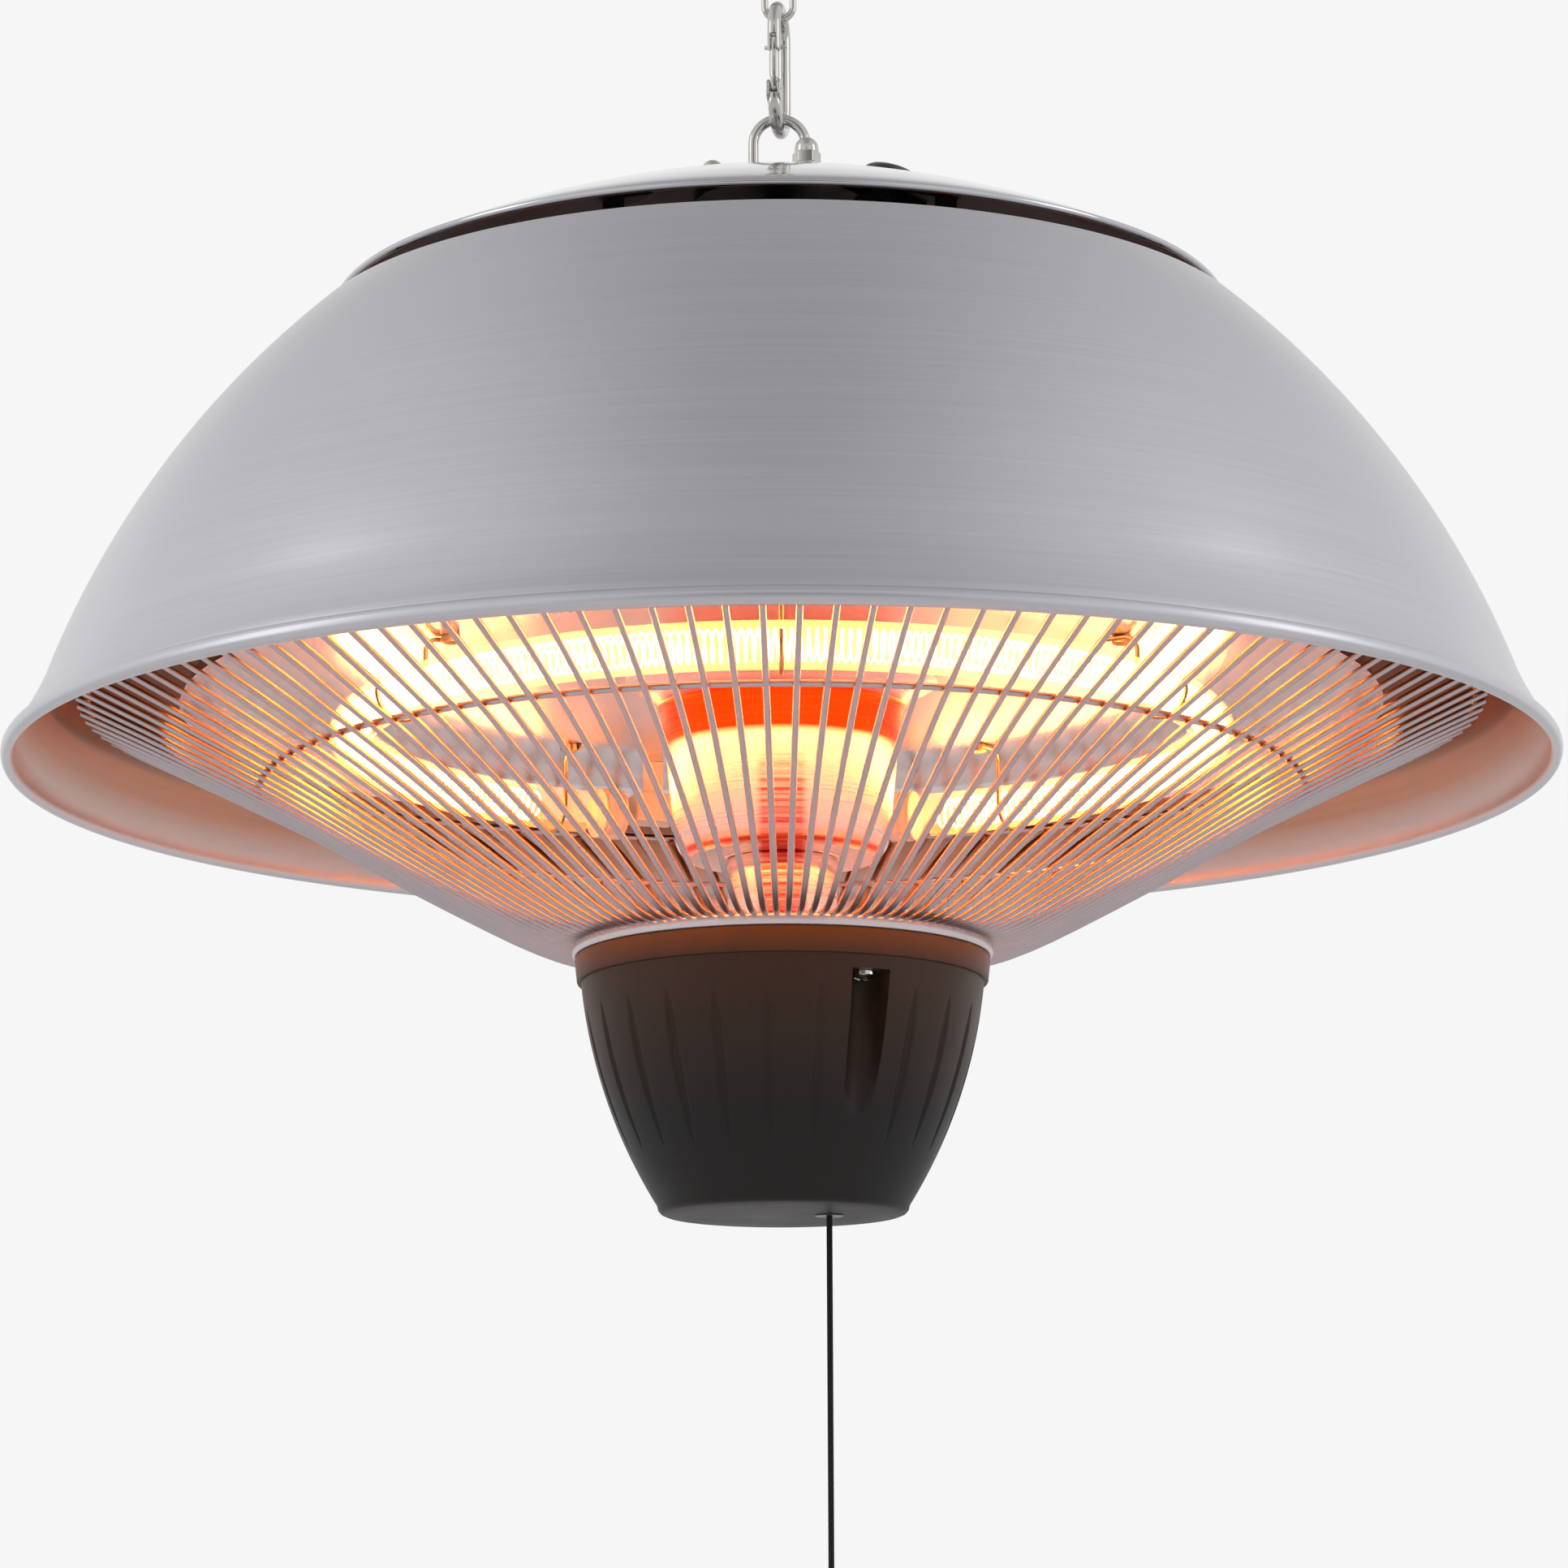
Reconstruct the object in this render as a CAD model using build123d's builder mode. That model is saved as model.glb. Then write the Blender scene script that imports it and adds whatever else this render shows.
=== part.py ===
from build123d import *
import os
from math import cos, degrees, radians, sin, sqrt

# Ceiling infrared heater: a spun aluminium shade and vented cap over a ring-shaped quartz lamp,
# a polished reflector, a conical wire guard, and a moulded switch housing with a pull cord below.
# The whole heater hangs from a bail, a snap hook and a short chain.
# Millimetres, +Z up. The origin is where the top chain link rests on its ceiling hook.
# Names ending in _h are heights above the plane of the shade's rim, which lies at rim_z.

os.makedirs("parts", exist_ok=True)

# Evenness of round shapes, which are built in flat facets
wire_sides = 6
bend_steps = 6  # straight steps in a half turn
shell_facets = 40  # round the shade, cap, pan and hoops
housing_facets = 24  # round the cup, band and guard plate
core_facets = 24  # round the column, neck and crown plate
lamp_facets = 36  # along the lamp's ring

# Clearances
seat = 0.05  # between two faces that are clamped, welded or glued together
hang_gap = 0.15  # between two loops that hang in each other
tube_fit = 0.15  # round the centre tube
screw_fit = 0.2  # round studs and screws
slide_fit = 0.1  # round the switch plunger and the hook's pins

# Chain links: round wire bent to a long oval
link_wire = 2.0
link_width = 10.0
link_length = 22.0

# Snap hook
hook_wire = 3.8
hook_length = 40.0
hook_width = 20.0
hook_turn = 10.0  # the hook hangs turned this many degrees about the vertical
fork_width = 5.3
fork_slot = 2.2
fork_radius = 2.3
gate_pivot_v = -7.8  # heights in the hook, from its middle
nose_end_v = 3.3
nose_slot = 1.8
gate_wire = 3.2
gate_gap = 0.35
catch_pin_radius = 0.6
catch_pin_length = 6.5
catch_pin_v = 5.0
hinge_pin_radius = 0.8

# Hanging bail: a U of round wire welded on the plate that crowns the cap
bail_wire = 3.0
bail_width = 17.7
bail_height = 21.8
crown_plate_radius = 23.0
crown_plate_sheet = 2.0

# Top cap: a shallow spun dome with a flat seat, given by the radii and heights of its creases
cap_sheet = 1.0
cap_seat_radius = 26.0
cap_seat_h = 168.4
cap_crown_radius = 56.0
cap_crown_h = 159.6
cap_slope_radius = 84.0
cap_slope_h = 150.0
cap_skirt_radius = 117.0
cap_skirt_h = 136.0
cap_radius = 125.0
cap_edge_h = 131.0

# Studs, acorn nuts and the disc that clamp the cap's seat
stud_circle_radius = 19.0
stud_radius = 2.0
stud_azimuth = -66.5
acorn_flats = 7.0
acorn_hex_height = 3.2
acorn_height = 8.0
washer_radius = 4.4
washer_thickness = 1.0
clamp_disc_radius = 24.0
clamp_disc_sheet = 2.0

# Posts between the cap and the spider plate
post_sheet = 1.5
post_width = 10.0
post_circle_radius = 53.0
post_tab = 10.0
arm_azimuth = -150.0

# Spider plate: carries the shade by its inward flange
spider_sheet = 2.0
spider_hub_radius = 24.0
spider_arm_width = 16.0
spider_reach = 128.5
rivet_circle_radius = 125.5
rivet_radius = 1.6
rivet_head_radius = 3.0
rivet_head = 1.2

# Shade: one long arc, a short flare, a rolled rim and an inward flange at the top
shade_sheet = 0.9
shade_top_radius = 131.7
shade_height = 124.3
shade_mid_radius = 174.5
shade_mid_h = 75.0
flare_radius = 201.8
flare_h = 20.0
rim_radius = 212.5
rim_width = 3.2
rim_top_h = 4.6
rim_foot_h = -0.3
rim_bead = 0.8
shade_flange = 10.5
shade_creases = 4  # straight steps that follow the long arc

# Reflector pan and the polished column below it
pan_sheet = 0.8
pan_h = 28.0
pan_flat_radius = 159.0
pan_radius = 164.2
pan_lip_h = 18.0
column_flange_radius = 43.0
column_waist_radius = 33.6
column_waist_h = 20.5
column_shoulder_radius = 29.5
column_shoulder_h = -16.0
column_foot_radius = 25.6
column_foot_h = -22.0
neck_radius = 15.0

# Centre tube: one hollow threaded rod ties the heater together
tube_radius = 5.0
tube_bore = 3.6
tube_top_h = 132.0
tube_end_h = -60.5
tube_nut_flats = 14.0
tube_nut_height = 3.5

# Lamp: a quartz ring with a gap at the back; angles are azimuths in degrees
lamp_ring_radius = 118.0
lamp_h = 11.5
lamp_radius = 6.35
lamp_wall = 1.2
lamp_start = 118.0
lamp_sweep = 312.0
filament_radius = 4.3
filament_start = 128.0
filament_sweep = 298.5
lamp_cap_radius = 7.6
lamp_cap_sweep = 4.0
connector_azimuth = 109.0
connector_width = 13.0
connector_depth = 10.0
connector_height = 8.5
connector_foot_h = 9.5
connector_stem = 5.0
clip_sheet = 0.8
clip_width = 3.0
clip_foot = 9.0
clip_gap = 0.1
clip_azimuths = (270.0, 212.0, 328.0, 125.0, 55.0)

# Wire guard: bent wires welded under two rings and on a plate
wire_count = 120
wire_size = 1.7
ring_size = 1.9
guard_rim_gap = 24.7  # from the rim's inner edge to the outer hoop's middle
guard_tip = 3.0  # wire that stands out past the outer hoop's middle
guard_tip_h = 10.4
guard_mid_radius = 142.4
guard_bend_radius = 130.0
guard_bend_h = -7.9
guard_foot_radius = 66.5
guard_weld_radius = 53.0
plate_radius = 57.3
plate_top_h = -47.2
plate_sheet = 2.2

# Lower housing: a band under the guard plate and a fluted cup below it
band_top_radius = 56.8
band_foot_radius = 56.1
band_height = 6.9
band_wall = 2.2
band_floor = 2.0
cup_top_radius = 55.0
cup_mid_radius = 49.0
cup_mid_h = -85.0
cup_foot_radius = 34.2
cup_foot_h = -117.0
cup_base_radius = 32.4
cup_base_h = -119.5
cup_wall = 2.4
cup_creases = 3
channel_circle_radius = 49.0
channel_radius = 4.8
channel_wall = 1.8
channel_top_h = -60.0
channel_foot_h = -100.0
channel_azimuth = -64.5
housing_screw_radius = 2.0
screw_head_radius = 3.6
screw_head_height = 2.4
flute_count = 24
flute_width = 3.2
flute_depth = 1.0
flute_top_h = -65.0
flute_foot_h = -103.0

# Pull switch and cord
pull_x = 12.4
pull_y = 0.8
switch_length = 30.0
switch_width = 20.0
switch_height = 26.0
switch_edge = 3.9  # from the plunger's middle to the block's near side
plunger_radius = 2.5
plunger_length = 22.0
plunger_show = 4.0
cord_socket = 6.0
cord_diameter = 1.6
cord_end_h = -226.0
knob_radius = 6.0
knob_top_h = -222.0
knob_height = 22.0
grommet_radius = 3.6
grommet_flange_radius = 4.8
grommet_flange = 0.8
grommet_fit = 0.35

# Cable entry and connections
gland_circle_radius = 32.5
gland_azimuth = -21.7
gland_radius = 9.2
gland_height = 7.6
gland_crown = 2.6
gland_thread_radius = 8.0
gland_bore = 4.1
gland_foot_h = 148.5
gland_nut_flats = 20.0
gland_nut_height = 4.0
block_width = 17.0
block_depth = 24.0
block_top_h = 158.0
block_height = 20.0
block_neck = 8.0

# Heights that follow from them, from the hang point down to the rim
link_inner = link_length - 2 * link_wire
upper_link_z = -link_inner / 2
lower_link_z = upper_link_z - link_inner + hang_gap
hook_top_z = lower_link_z - link_inner / 2 + hang_gap + hook_wire
hook_z = hook_top_z - hook_length / 2
crown_plate_h = cap_seat_h + seat
bail_foot_h = crown_plate_h + crown_plate_sheet + seat
bail_crown_h = bail_foot_h + bail_height
rim_z = hook_top_z - hook_length + hook_wire + hang_gap + bail_wire - bail_crown_h


def level(h):
    """Horizontal plane at a height above the rim."""
    return Plane.XY.offset(rim_z + h)


def radial(azimuth):
    """Vertical half section at an azimuth: x is the radius, y the height above the rim."""
    a = radians(azimuth)
    return Plane(origin=(0, 0, rim_z), x_dir=(cos(a), sin(a), 0), z_dir=(sin(a), -cos(a), 0))


def turned(outline, facets, start=0.0, swept=360.0):
    """Body turned about the axis in flat facets, from the corners (radius, height) of its half section.
    One facet is a slab cut to a wedge, and the body is a round of such wedges."""
    step = swept / facets
    middle = cos(radians(step / 2))
    reach = max(r for r, h in outline)
    with BuildPart() as wedge:
        with BuildSketch(radial(start + step / 2)):
            with BuildLine():
                Polyline(*[(r * middle, h) for r, h in outline], close=True)
            make_face()
        extrude(amount=1.1 * reach * sin(radians(step / 2)), both=True)
        split(bisect_by=radial(start), keep=Keep.BOTTOM)
        split(bisect_by=radial(start + step), keep=Keep.TOP)
    with BuildPart() as body:
        with Locations(*[Location((0, 0, 0), (0, 0, 1), i * step) for i in range(facets)]):
            add(wedge.part)
    return body.part


def arc_points(start, middle, end, steps, inset=0.0):
    """Points at even steps along the arc through three points, moved towards its centre by an inset."""
    arc = ThreePointArc(start, middle, end)
    centre = arc.arc_center
    keep = 1 - inset / arc.radius
    points = []
    for i in range(steps + 1):
        spot = arc @ (i / steps)
        points.append((centre.X + (spot.X - centre.X) * keep, centre.Y + (spot.Y - centre.Y) * keep))
    return points


def half_turn(x, y, bow, start, sweep_angle, steps):
    """Stations (x, y, heading) at even steps round a bend in a plane."""
    side = 90 if sweep_angle > 0 else -90
    angles = [start + sweep_angle * i / steps for i in range(steps + 1)]
    return [(x + bow * cos(radians(a)), y + bow * sin(radians(a)), a + side) for a in angles]


def wire_run(plane, stations, radius, sides):
    """Wire with straight steps through stations (x, y, heading) in a plane."""
    with BuildPart() as run:
        for x, y, heading in stations:
            a = radians(heading)
            ahead = plane.x_dir * cos(a) + plane.y_dir * sin(a)
            across = plane.x_dir * sin(a) - plane.y_dir * cos(a)
            with BuildSketch(Plane(plane.from_local_coords((x, y, 0)), x_dir=across, z_dir=ahead)):
                RegularPolygon(radius, sides)
        loft(ruled=True)
    return run.part


def lamp_run(radius, sides, start, swept):
    """Length of tube that follows the lamp's ring between two azimuths."""
    turns = [radians(360 * (i + 0.5) / sides) for i in range(sides)]
    outline = [(lamp_ring_radius + radius * cos(a), lamp_h + radius * sin(a)) for a in turns]
    return turned(outline, max(1, round(lamp_facets * swept / 360)), start, swept)


def cap_h(radius):
    """Height of the cap's outer face at a distance from the axis."""
    for (r1, h1), (r2, h2) in zip(cap_profile, cap_profile[1:]):
        if radius <= r2:
            return h1 + (h2 - h1) * (radius - r1) / (r2 - r1)
    return cap_edge_h


def tab_h(radius):
    """Height at which a post's tab clears the inside of the cap over its whole width."""
    return cap_h(sqrt(radius**2 + (post_width / 2) ** 2)) - cap_depth - seat


cap_profile = [
    (cap_seat_radius, cap_seat_h),
    (cap_crown_radius, cap_crown_h),
    (cap_slope_radius, cap_slope_h),
    (cap_skirt_radius, cap_skirt_h),
    (cap_radius, cap_edge_h),
]
section = radial(0)
arm_azimuths = (arm_azimuth, arm_azimuth + 120, arm_azimuth + 240)
hole = tube_radius + tube_fit

# Chain

link_bow = (link_width - link_wire) / 2
link_straight = link_length - link_width
link_half = [
    (link_bow, 0, 90),
    *half_turn(0, link_straight / 2, link_bow, 0, 180, bend_steps),
    (-link_bow, 0, 270),
]

with BuildPart() as chain_link_upper:
    link_plane = Plane(origin=(0, 0, upper_link_z), x_dir=(0, 1, 0), z_dir=(1, 0, 0))
    add(wire_run(link_plane, link_half, link_wire / 2, wire_sides))
    add(wire_run(link_plane, [(-x, -y, a + 180) for x, y, a in link_half], link_wire / 2, wire_sides))
chain_link_upper.part.label = "chain_link_upper"
export_step(chain_link_upper.part, "parts/chain_link_upper.step")

with BuildPart() as chain_link_lower:
    link_plane = Plane(origin=(0, 0, lower_link_z), x_dir=(1, 0, 0), z_dir=(0, -1, 0))
    add(wire_run(link_plane, link_half, link_wire / 2, wire_sides))
    add(wire_run(link_plane, [(-x, -y, a + 180) for x, y, a in link_half], link_wire / 2, wire_sides))
chain_link_lower.part.label = "chain_link_lower"
export_step(chain_link_lower.part, "parts/chain_link_lower.step")

# Snap hook: x runs from the gate to the spine, y up, and the pins lie along z

turn = radians(hook_turn)
hook_plane = Plane(origin=(0, 0, hook_z), x_dir=(sin(turn), cos(turn), 0), z_dir=(cos(turn), -sin(turn), 0))
hook_bow = (hook_width - hook_wire) / 2
hook_straight = hook_length - hook_width
tongue_foot_v = gate_pivot_v - hinge_pin_radius - 0.9
tongue_swing = sqrt((gate_wire * 0.45) ** 2 + (gate_pivot_v - tongue_foot_v) ** 2)
gate_foot_v = gate_pivot_v + fork_radius + gate_gap
gate_top_v = nose_end_v - gate_gap
tongue_top_v = catch_pin_v + 2.6
catch_x = -hook_bow + hook_wire / 2 + gate_gap + catch_pin_radius
tongue_x = -hook_bow - gate_wire * 0.35

with BuildPart() as snap_hook_body:
    hook_stations = [
        (-hook_bow, nose_end_v, 90),
        *half_turn(0, hook_straight / 2, hook_bow, 180, -180, bend_steps),
        *half_turn(0, -hook_straight / 2, hook_bow, 0, -180, bend_steps),
    ]
    add(wire_run(hook_plane, hook_stations, hook_wire / 2, wire_sides))
    with BuildSketch(hook_plane):
        with Locations((-hook_bow, gate_pivot_v)):
            RegularPolygon(fork_radius, 12)
        with Locations((-hook_bow, -hook_straight / 2)):
            fork_stem = gate_pivot_v + hook_straight / 2
            Rectangle(hook_wire, fork_stem, align=(Align.CENTER, Align.MIN))
    extrude(amount=fork_width / 2, both=True)
    with BuildSketch(hook_plane):
        with Locations((-hook_bow, gate_pivot_v - tongue_swing - gate_gap / 2)):
            Rectangle(2 * hook_wire, tongue_swing + 2 * fork_radius, align=(Align.CENTER, Align.MIN))
    extrude(amount=fork_slot / 2, both=True, mode=Mode.SUBTRACT)
    with BuildSketch(hook_plane):
        with Locations((-hook_bow, nose_end_v - 1)):
            nose_cut = tongue_top_v + gate_gap - nose_end_v + 1
            Rectangle(1.5 * hook_wire, nose_cut, align=(Align.CENTER, Align.MIN))
    extrude(amount=nose_slot / 2, both=True, mode=Mode.SUBTRACT)
    with BuildSketch(hook_plane):
        with Locations((-hook_bow, gate_pivot_v)):
            RegularPolygon(hinge_pin_radius, 12, major_radius=False)
    extrude(amount=fork_width, both=True, mode=Mode.SUBTRACT)
snap_hook_body.part.label = "snap_hook_body"
export_step(snap_hook_body.part, "parts/snap_hook_body.step")

with BuildPart() as snap_hook_gate:
    gate_stations = [(-hook_bow, gate_foot_v, 90), (-hook_bow, gate_top_v, 90)]
    add(wire_run(hook_plane, gate_stations, gate_wire / 2, wire_sides + 2))
    with BuildSketch(hook_plane):
        with Locations((-hook_bow, tongue_foot_v)):
            Rectangle(gate_wire * 0.9, gate_foot_v - tongue_foot_v, align=(Align.CENTER, Align.MIN))
    extrude(amount=fork_slot / 2 - slide_fit * 1.5, both=True)
    with BuildSketch(hook_plane):
        with Locations((tongue_x, gate_top_v)):
            tongue_width = catch_x + catch_pin_radius - tongue_x
            Rectangle(tongue_width, tongue_top_v - gate_top_v, align=(Align.MIN, Align.MIN))
    extrude(amount=nose_slot / 2 - slide_fit * 2, both=True)
    with BuildSketch(hook_plane):
        with Locations((catch_x, catch_pin_v)):
            RegularPolygon(catch_pin_radius, 8)
    extrude(amount=catch_pin_length / 2, both=True)
    with BuildSketch(hook_plane):
        with Locations((-hook_bow, gate_pivot_v)):
            Circle(hinge_pin_radius + slide_fit / 2)
    extrude(amount=fork_width, both=True, mode=Mode.SUBTRACT)
snap_hook_gate.part.label = "snap_hook_gate"
export_step(snap_hook_gate.part, "parts/snap_hook_gate.step")

with BuildPart() as snap_hook_hinge_pin:
    with BuildSketch(hook_plane):
        with Locations((-hook_bow, gate_pivot_v)):
            Circle(hinge_pin_radius)
    extrude(amount=fork_width / 2, both=True)
snap_hook_hinge_pin.part.label = "snap_hook_hinge_pin"
export_step(snap_hook_hinge_pin.part, "parts/snap_hook_hinge_pin.step")

# Bail and the plate under it

bail_bow = (bail_width - bail_wire) / 2
bail_bend_h = bail_crown_h - bail_width / 2

with BuildPart() as hanging_bail:
    bail_stations = [
        (bail_bow, bail_foot_h, 90),
        *half_turn(0, bail_bend_h, bail_bow, 0, 180, bend_steps + 2),
        (-bail_bow, bail_foot_h, 270),
    ]
    add(wire_run(section, bail_stations, bail_wire / 2, wire_sides))
hanging_bail.part.label = "hanging_bail"
export_step(hanging_bail.part, "parts/hanging_bail.step")

with BuildPart() as crown_plate:
    with BuildSketch(level(crown_plate_h)):
        RegularPolygon(crown_plate_radius, core_facets)
        with PolarLocations(stud_circle_radius, 3, stud_azimuth):
            RegularPolygon(stud_radius + screw_fit, 12, mode=Mode.SUBTRACT)
    extrude(amount=crown_plate_sheet)
crown_plate.part.label = "crown_plate"
export_step(crown_plate.part, "parts/crown_plate.step")

# Cap, the disc with welded studs that clamps it, and the acorn nuts

cap_depth = cap_sheet * 1.1  # the sheet's thickness measured down its slope
cap_inside = [(r, h - cap_depth) for r, h in reversed(cap_profile)]

with BuildPart() as top_cap:
    cap_core = cap_seat_radius / 2
    cap_outline = [(cap_core, cap_seat_h), *cap_profile, *cap_inside, (cap_core, cap_seat_h - cap_depth)]
    add(turned(cap_outline, shell_facets))
    with BuildSketch(level(cap_seat_h)):
        RegularPolygon(cap_core, shell_facets)
    extrude(amount=-cap_depth)
    with BuildSketch(level(cap_seat_h + 1)):
        with PolarLocations(stud_circle_radius, 3, stud_azimuth):
            RegularPolygon(stud_radius + screw_fit, 12)
        with PolarLocations(gland_circle_radius, 1, gland_azimuth):
            RegularPolygon(gland_thread_radius + screw_fit, 24)
    extrude(amount=-20, mode=Mode.SUBTRACT)
top_cap.part.label = "top_cap"
export_step(top_cap.part, "parts/top_cap.step")

nut_h = crown_plate_h + crown_plate_sheet + seat + washer_thickness
clamp_top_h = cap_seat_h - cap_depth - seat

with BuildPart() as clamp_disc:
    with BuildSketch(level(clamp_top_h)):
        RegularPolygon(clamp_disc_radius, core_facets)
    extrude(amount=-clamp_disc_sheet)
    with BuildSketch(level(clamp_top_h)):
        with PolarLocations(stud_circle_radius, 3, stud_azimuth):
            RegularPolygon(stud_radius, 12)
    extrude(amount=nut_h + acorn_hex_height - clamp_top_h)
clamp_disc.part.label = "clamp_disc"
export_step(clamp_disc.part, "parts/clamp_disc.step")

with BuildPart() as acorn_nuts:
    with BuildSketch(level(nut_h - washer_thickness)):
        with PolarLocations(stud_circle_radius, 3, stud_azimuth):
            RegularPolygon(washer_radius, 12)
    extrude(amount=washer_thickness)
    with BuildSketch(level(nut_h)):
        with PolarLocations(stud_circle_radius, 3, stud_azimuth):
            RegularPolygon(acorn_flats / 2, 6, major_radius=False)
    extrude(amount=acorn_hex_height)
    with BuildSketch(level(nut_h + acorn_hex_height)):
        with PolarLocations(stud_circle_radius, 3, stud_azimuth):
            RegularPolygon(acorn_flats / 2, 12)
    extrude(amount=acorn_height - acorn_hex_height, taper=18)
    with BuildSketch(level(nut_h - washer_thickness)):
        with PolarLocations(stud_circle_radius, 3, stud_azimuth):
            RegularPolygon(stud_radius + seat, 12)
    extrude(amount=washer_thickness + acorn_hex_height + 2 * seat, mode=Mode.SUBTRACT)
acorn_nuts.part.label = "acorn_nuts"
export_step(acorn_nuts.part, "parts/acorn_nuts.step")

# Posts and spider plate

spider_h = shade_height - shade_sheet - seat
post_outer = post_circle_radius + post_sheet / 2

with BuildPart() as cap_posts:
    for azimuth in arm_azimuths:
        with BuildSketch(radial(azimuth)):
            with BuildLine():
                Polyline(
                    (post_outer - post_tab - post_sheet, spider_h + seat),
                    (post_outer, spider_h + seat),
                    (post_outer, tab_h(post_outer)),
                    (post_outer - post_tab, tab_h(post_outer - post_tab)),
                )
                offset(amount=post_sheet, side=Side.LEFT, kind=Kind.INTERSECTION)
            make_face()
        extrude(amount=post_width / 2, both=True)
cap_posts.part.label = "cap_posts"
export_step(cap_posts.part, "parts/cap_posts.step")

with BuildPart() as spider_plate:
    with BuildSketch(level(spider_h)):
        RegularPolygon(spider_hub_radius, core_facets)
        for azimuth in arm_azimuths:
            with Locations(Location((0, 0, 0), (0, 0, 1), azimuth)):
                Rectangle(spider_reach, spider_arm_width, align=(Align.MIN, Align.CENTER))
        RegularPolygon(hole, 12, major_radius=False, mode=Mode.SUBTRACT)
        with PolarLocations(rivet_circle_radius, 3, arm_azimuth):
            RegularPolygon(rivet_radius + seat, 12, mode=Mode.SUBTRACT)
    extrude(amount=-spider_sheet)
spider_plate.part.label = "spider_plate"
export_step(spider_plate.part, "parts/spider_plate.step")

with BuildPart() as shade_rivets:
    with BuildSketch(level(shade_height + seat)):
        with PolarLocations(rivet_circle_radius, 3, arm_azimuth):
            RegularPolygon(rivet_head_radius, 10)
    extrude(amount=rivet_head)
    with BuildSketch(level(shade_height + seat)):
        with PolarLocations(rivet_circle_radius, 3, arm_azimuth):
            RegularPolygon(rivet_radius, 12)
    extrude(amount=-shade_sheet - spider_sheet - 3 * seat)
shade_rivets.part.label = "shade_rivets"
export_step(shade_rivets.part, "parts/shade_rivets.step")

# Shade

shade_arc = ((shade_top_radius, shade_height), (shade_mid_radius, shade_mid_h), (flare_radius, flare_h))
shade_top_h = shade_height - shade_sheet
shade_outside = [
    (shade_top_radius - shade_flange, shade_height),
    *arc_points(*shade_arc, shade_creases),
    (rim_radius - rim_bead, rim_top_h),
    (rim_radius, rim_top_h - rim_bead),
    (rim_radius, rim_foot_h),
]
shade_inside = [
    (shade_top_radius - shade_flange, shade_top_h),
    (shade_top_radius - shade_sheet, shade_top_h),
    *arc_points(*shade_arc, shade_creases, inset=shade_sheet)[1:],
    (rim_radius - rim_width, rim_top_h - rim_bead),
    (rim_radius - rim_width, rim_foot_h),
]

with BuildPart() as shade:
    add(turned([*shade_outside, *reversed(shade_inside)], shell_facets))
    with BuildSketch(level(shade_height)):
        with PolarLocations(rivet_circle_radius, 3, arm_azimuth):
            RegularPolygon(rivet_radius + seat, 12)
    extrude(amount=-2 * shade_sheet, mode=Mode.SUBTRACT)
shade.part.label = "shade"
export_step(shade.part, "parts/shade.step")

# Reflector pan, column and neck

with BuildPart() as reflector_pan:
    pan_outline = [
        (hole, pan_h),
        (pan_flat_radius, pan_h),
        (pan_radius, pan_lip_h),
        (pan_radius + pan_sheet, pan_lip_h),
        (pan_flat_radius + 0.6 * pan_sheet, pan_h + pan_sheet),
        (hole, pan_h + pan_sheet),
    ]
    add(turned(pan_outline, shell_facets))
reflector_pan.part.label = "reflector_pan"
export_step(reflector_pan.part, "parts/reflector_pan.step")

column_profile = [
    (hole, pan_h - seat),
    (column_flange_radius, pan_h - seat),
    (column_waist_radius, column_waist_h),
    (column_shoulder_radius, column_shoulder_h),
    (column_foot_radius, column_foot_h),
    (hole, column_foot_h),
]

with BuildPart() as reflector_column:
    add(turned(column_profile, core_facets))
reflector_column.part.label = "reflector_column"
export_step(reflector_column.part, "parts/reflector_column.step")

with BuildPart() as neck_tube:
    with BuildSketch(level(column_foot_h - seat)):
        RegularPolygon(neck_radius, core_facets)
        RegularPolygon(hole, 12, major_radius=False, mode=Mode.SUBTRACT)
    extrude(amount=plate_top_h + seat - column_foot_h + seat)
neck_tube.part.label = "neck_tube"
export_step(neck_tube.part, "parts/neck_tube.step")

# Centre tube and its nuts

band_top_h = plate_top_h - plate_sheet - seat
floor_h = band_top_h - band_floor
tube_nut_spots = (spider_h + seat, pan_h + pan_sheet + seat, floor_h - seat - tube_nut_height)

with BuildPart() as centre_tube:
    with BuildSketch(level(tube_end_h)):
        Circle(tube_radius)
        Circle(tube_bore, mode=Mode.SUBTRACT)
    extrude(amount=tube_top_h - tube_end_h)
centre_tube.part.label = "centre_tube"
export_step(centre_tube.part, "parts/centre_tube.step")

with BuildPart() as centre_tube_nuts:
    for h in (*tube_nut_spots, spider_h - spider_sheet - seat - tube_nut_height):
        with BuildSketch(level(h)):
            RegularPolygon(tube_nut_flats / 2, 6, major_radius=False)
            RegularPolygon(tube_radius + seat, 12, major_radius=False, mode=Mode.SUBTRACT)
        extrude(amount=tube_nut_height)
centre_tube_nuts.part.label = "centre_tube_nuts"
export_step(centre_tube_nuts.part, "parts/centre_tube_nuts.step")

# Lamp: glass, filament, ceramic ends and the clips that hang it from the pan

with BuildPart() as lamp_tube:
    add(lamp_run(lamp_radius, 8, lamp_start, lamp_sweep))
    add(lamp_run(lamp_radius - lamp_wall, 6, lamp_start, lamp_sweep), mode=Mode.SUBTRACT)
lamp_tube.part.label = "lamp_tube"
export_step(lamp_tube.part, "parts/lamp_tube.step")

with BuildPart() as lamp_filament:
    add(lamp_run(filament_radius, 4, lamp_start, lamp_sweep))
lamp_filament.part.label = "lamp_filament"
export_step(lamp_filament.part, "parts/lamp_filament.step")

end_gap = degrees(seat / lamp_ring_radius)

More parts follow.
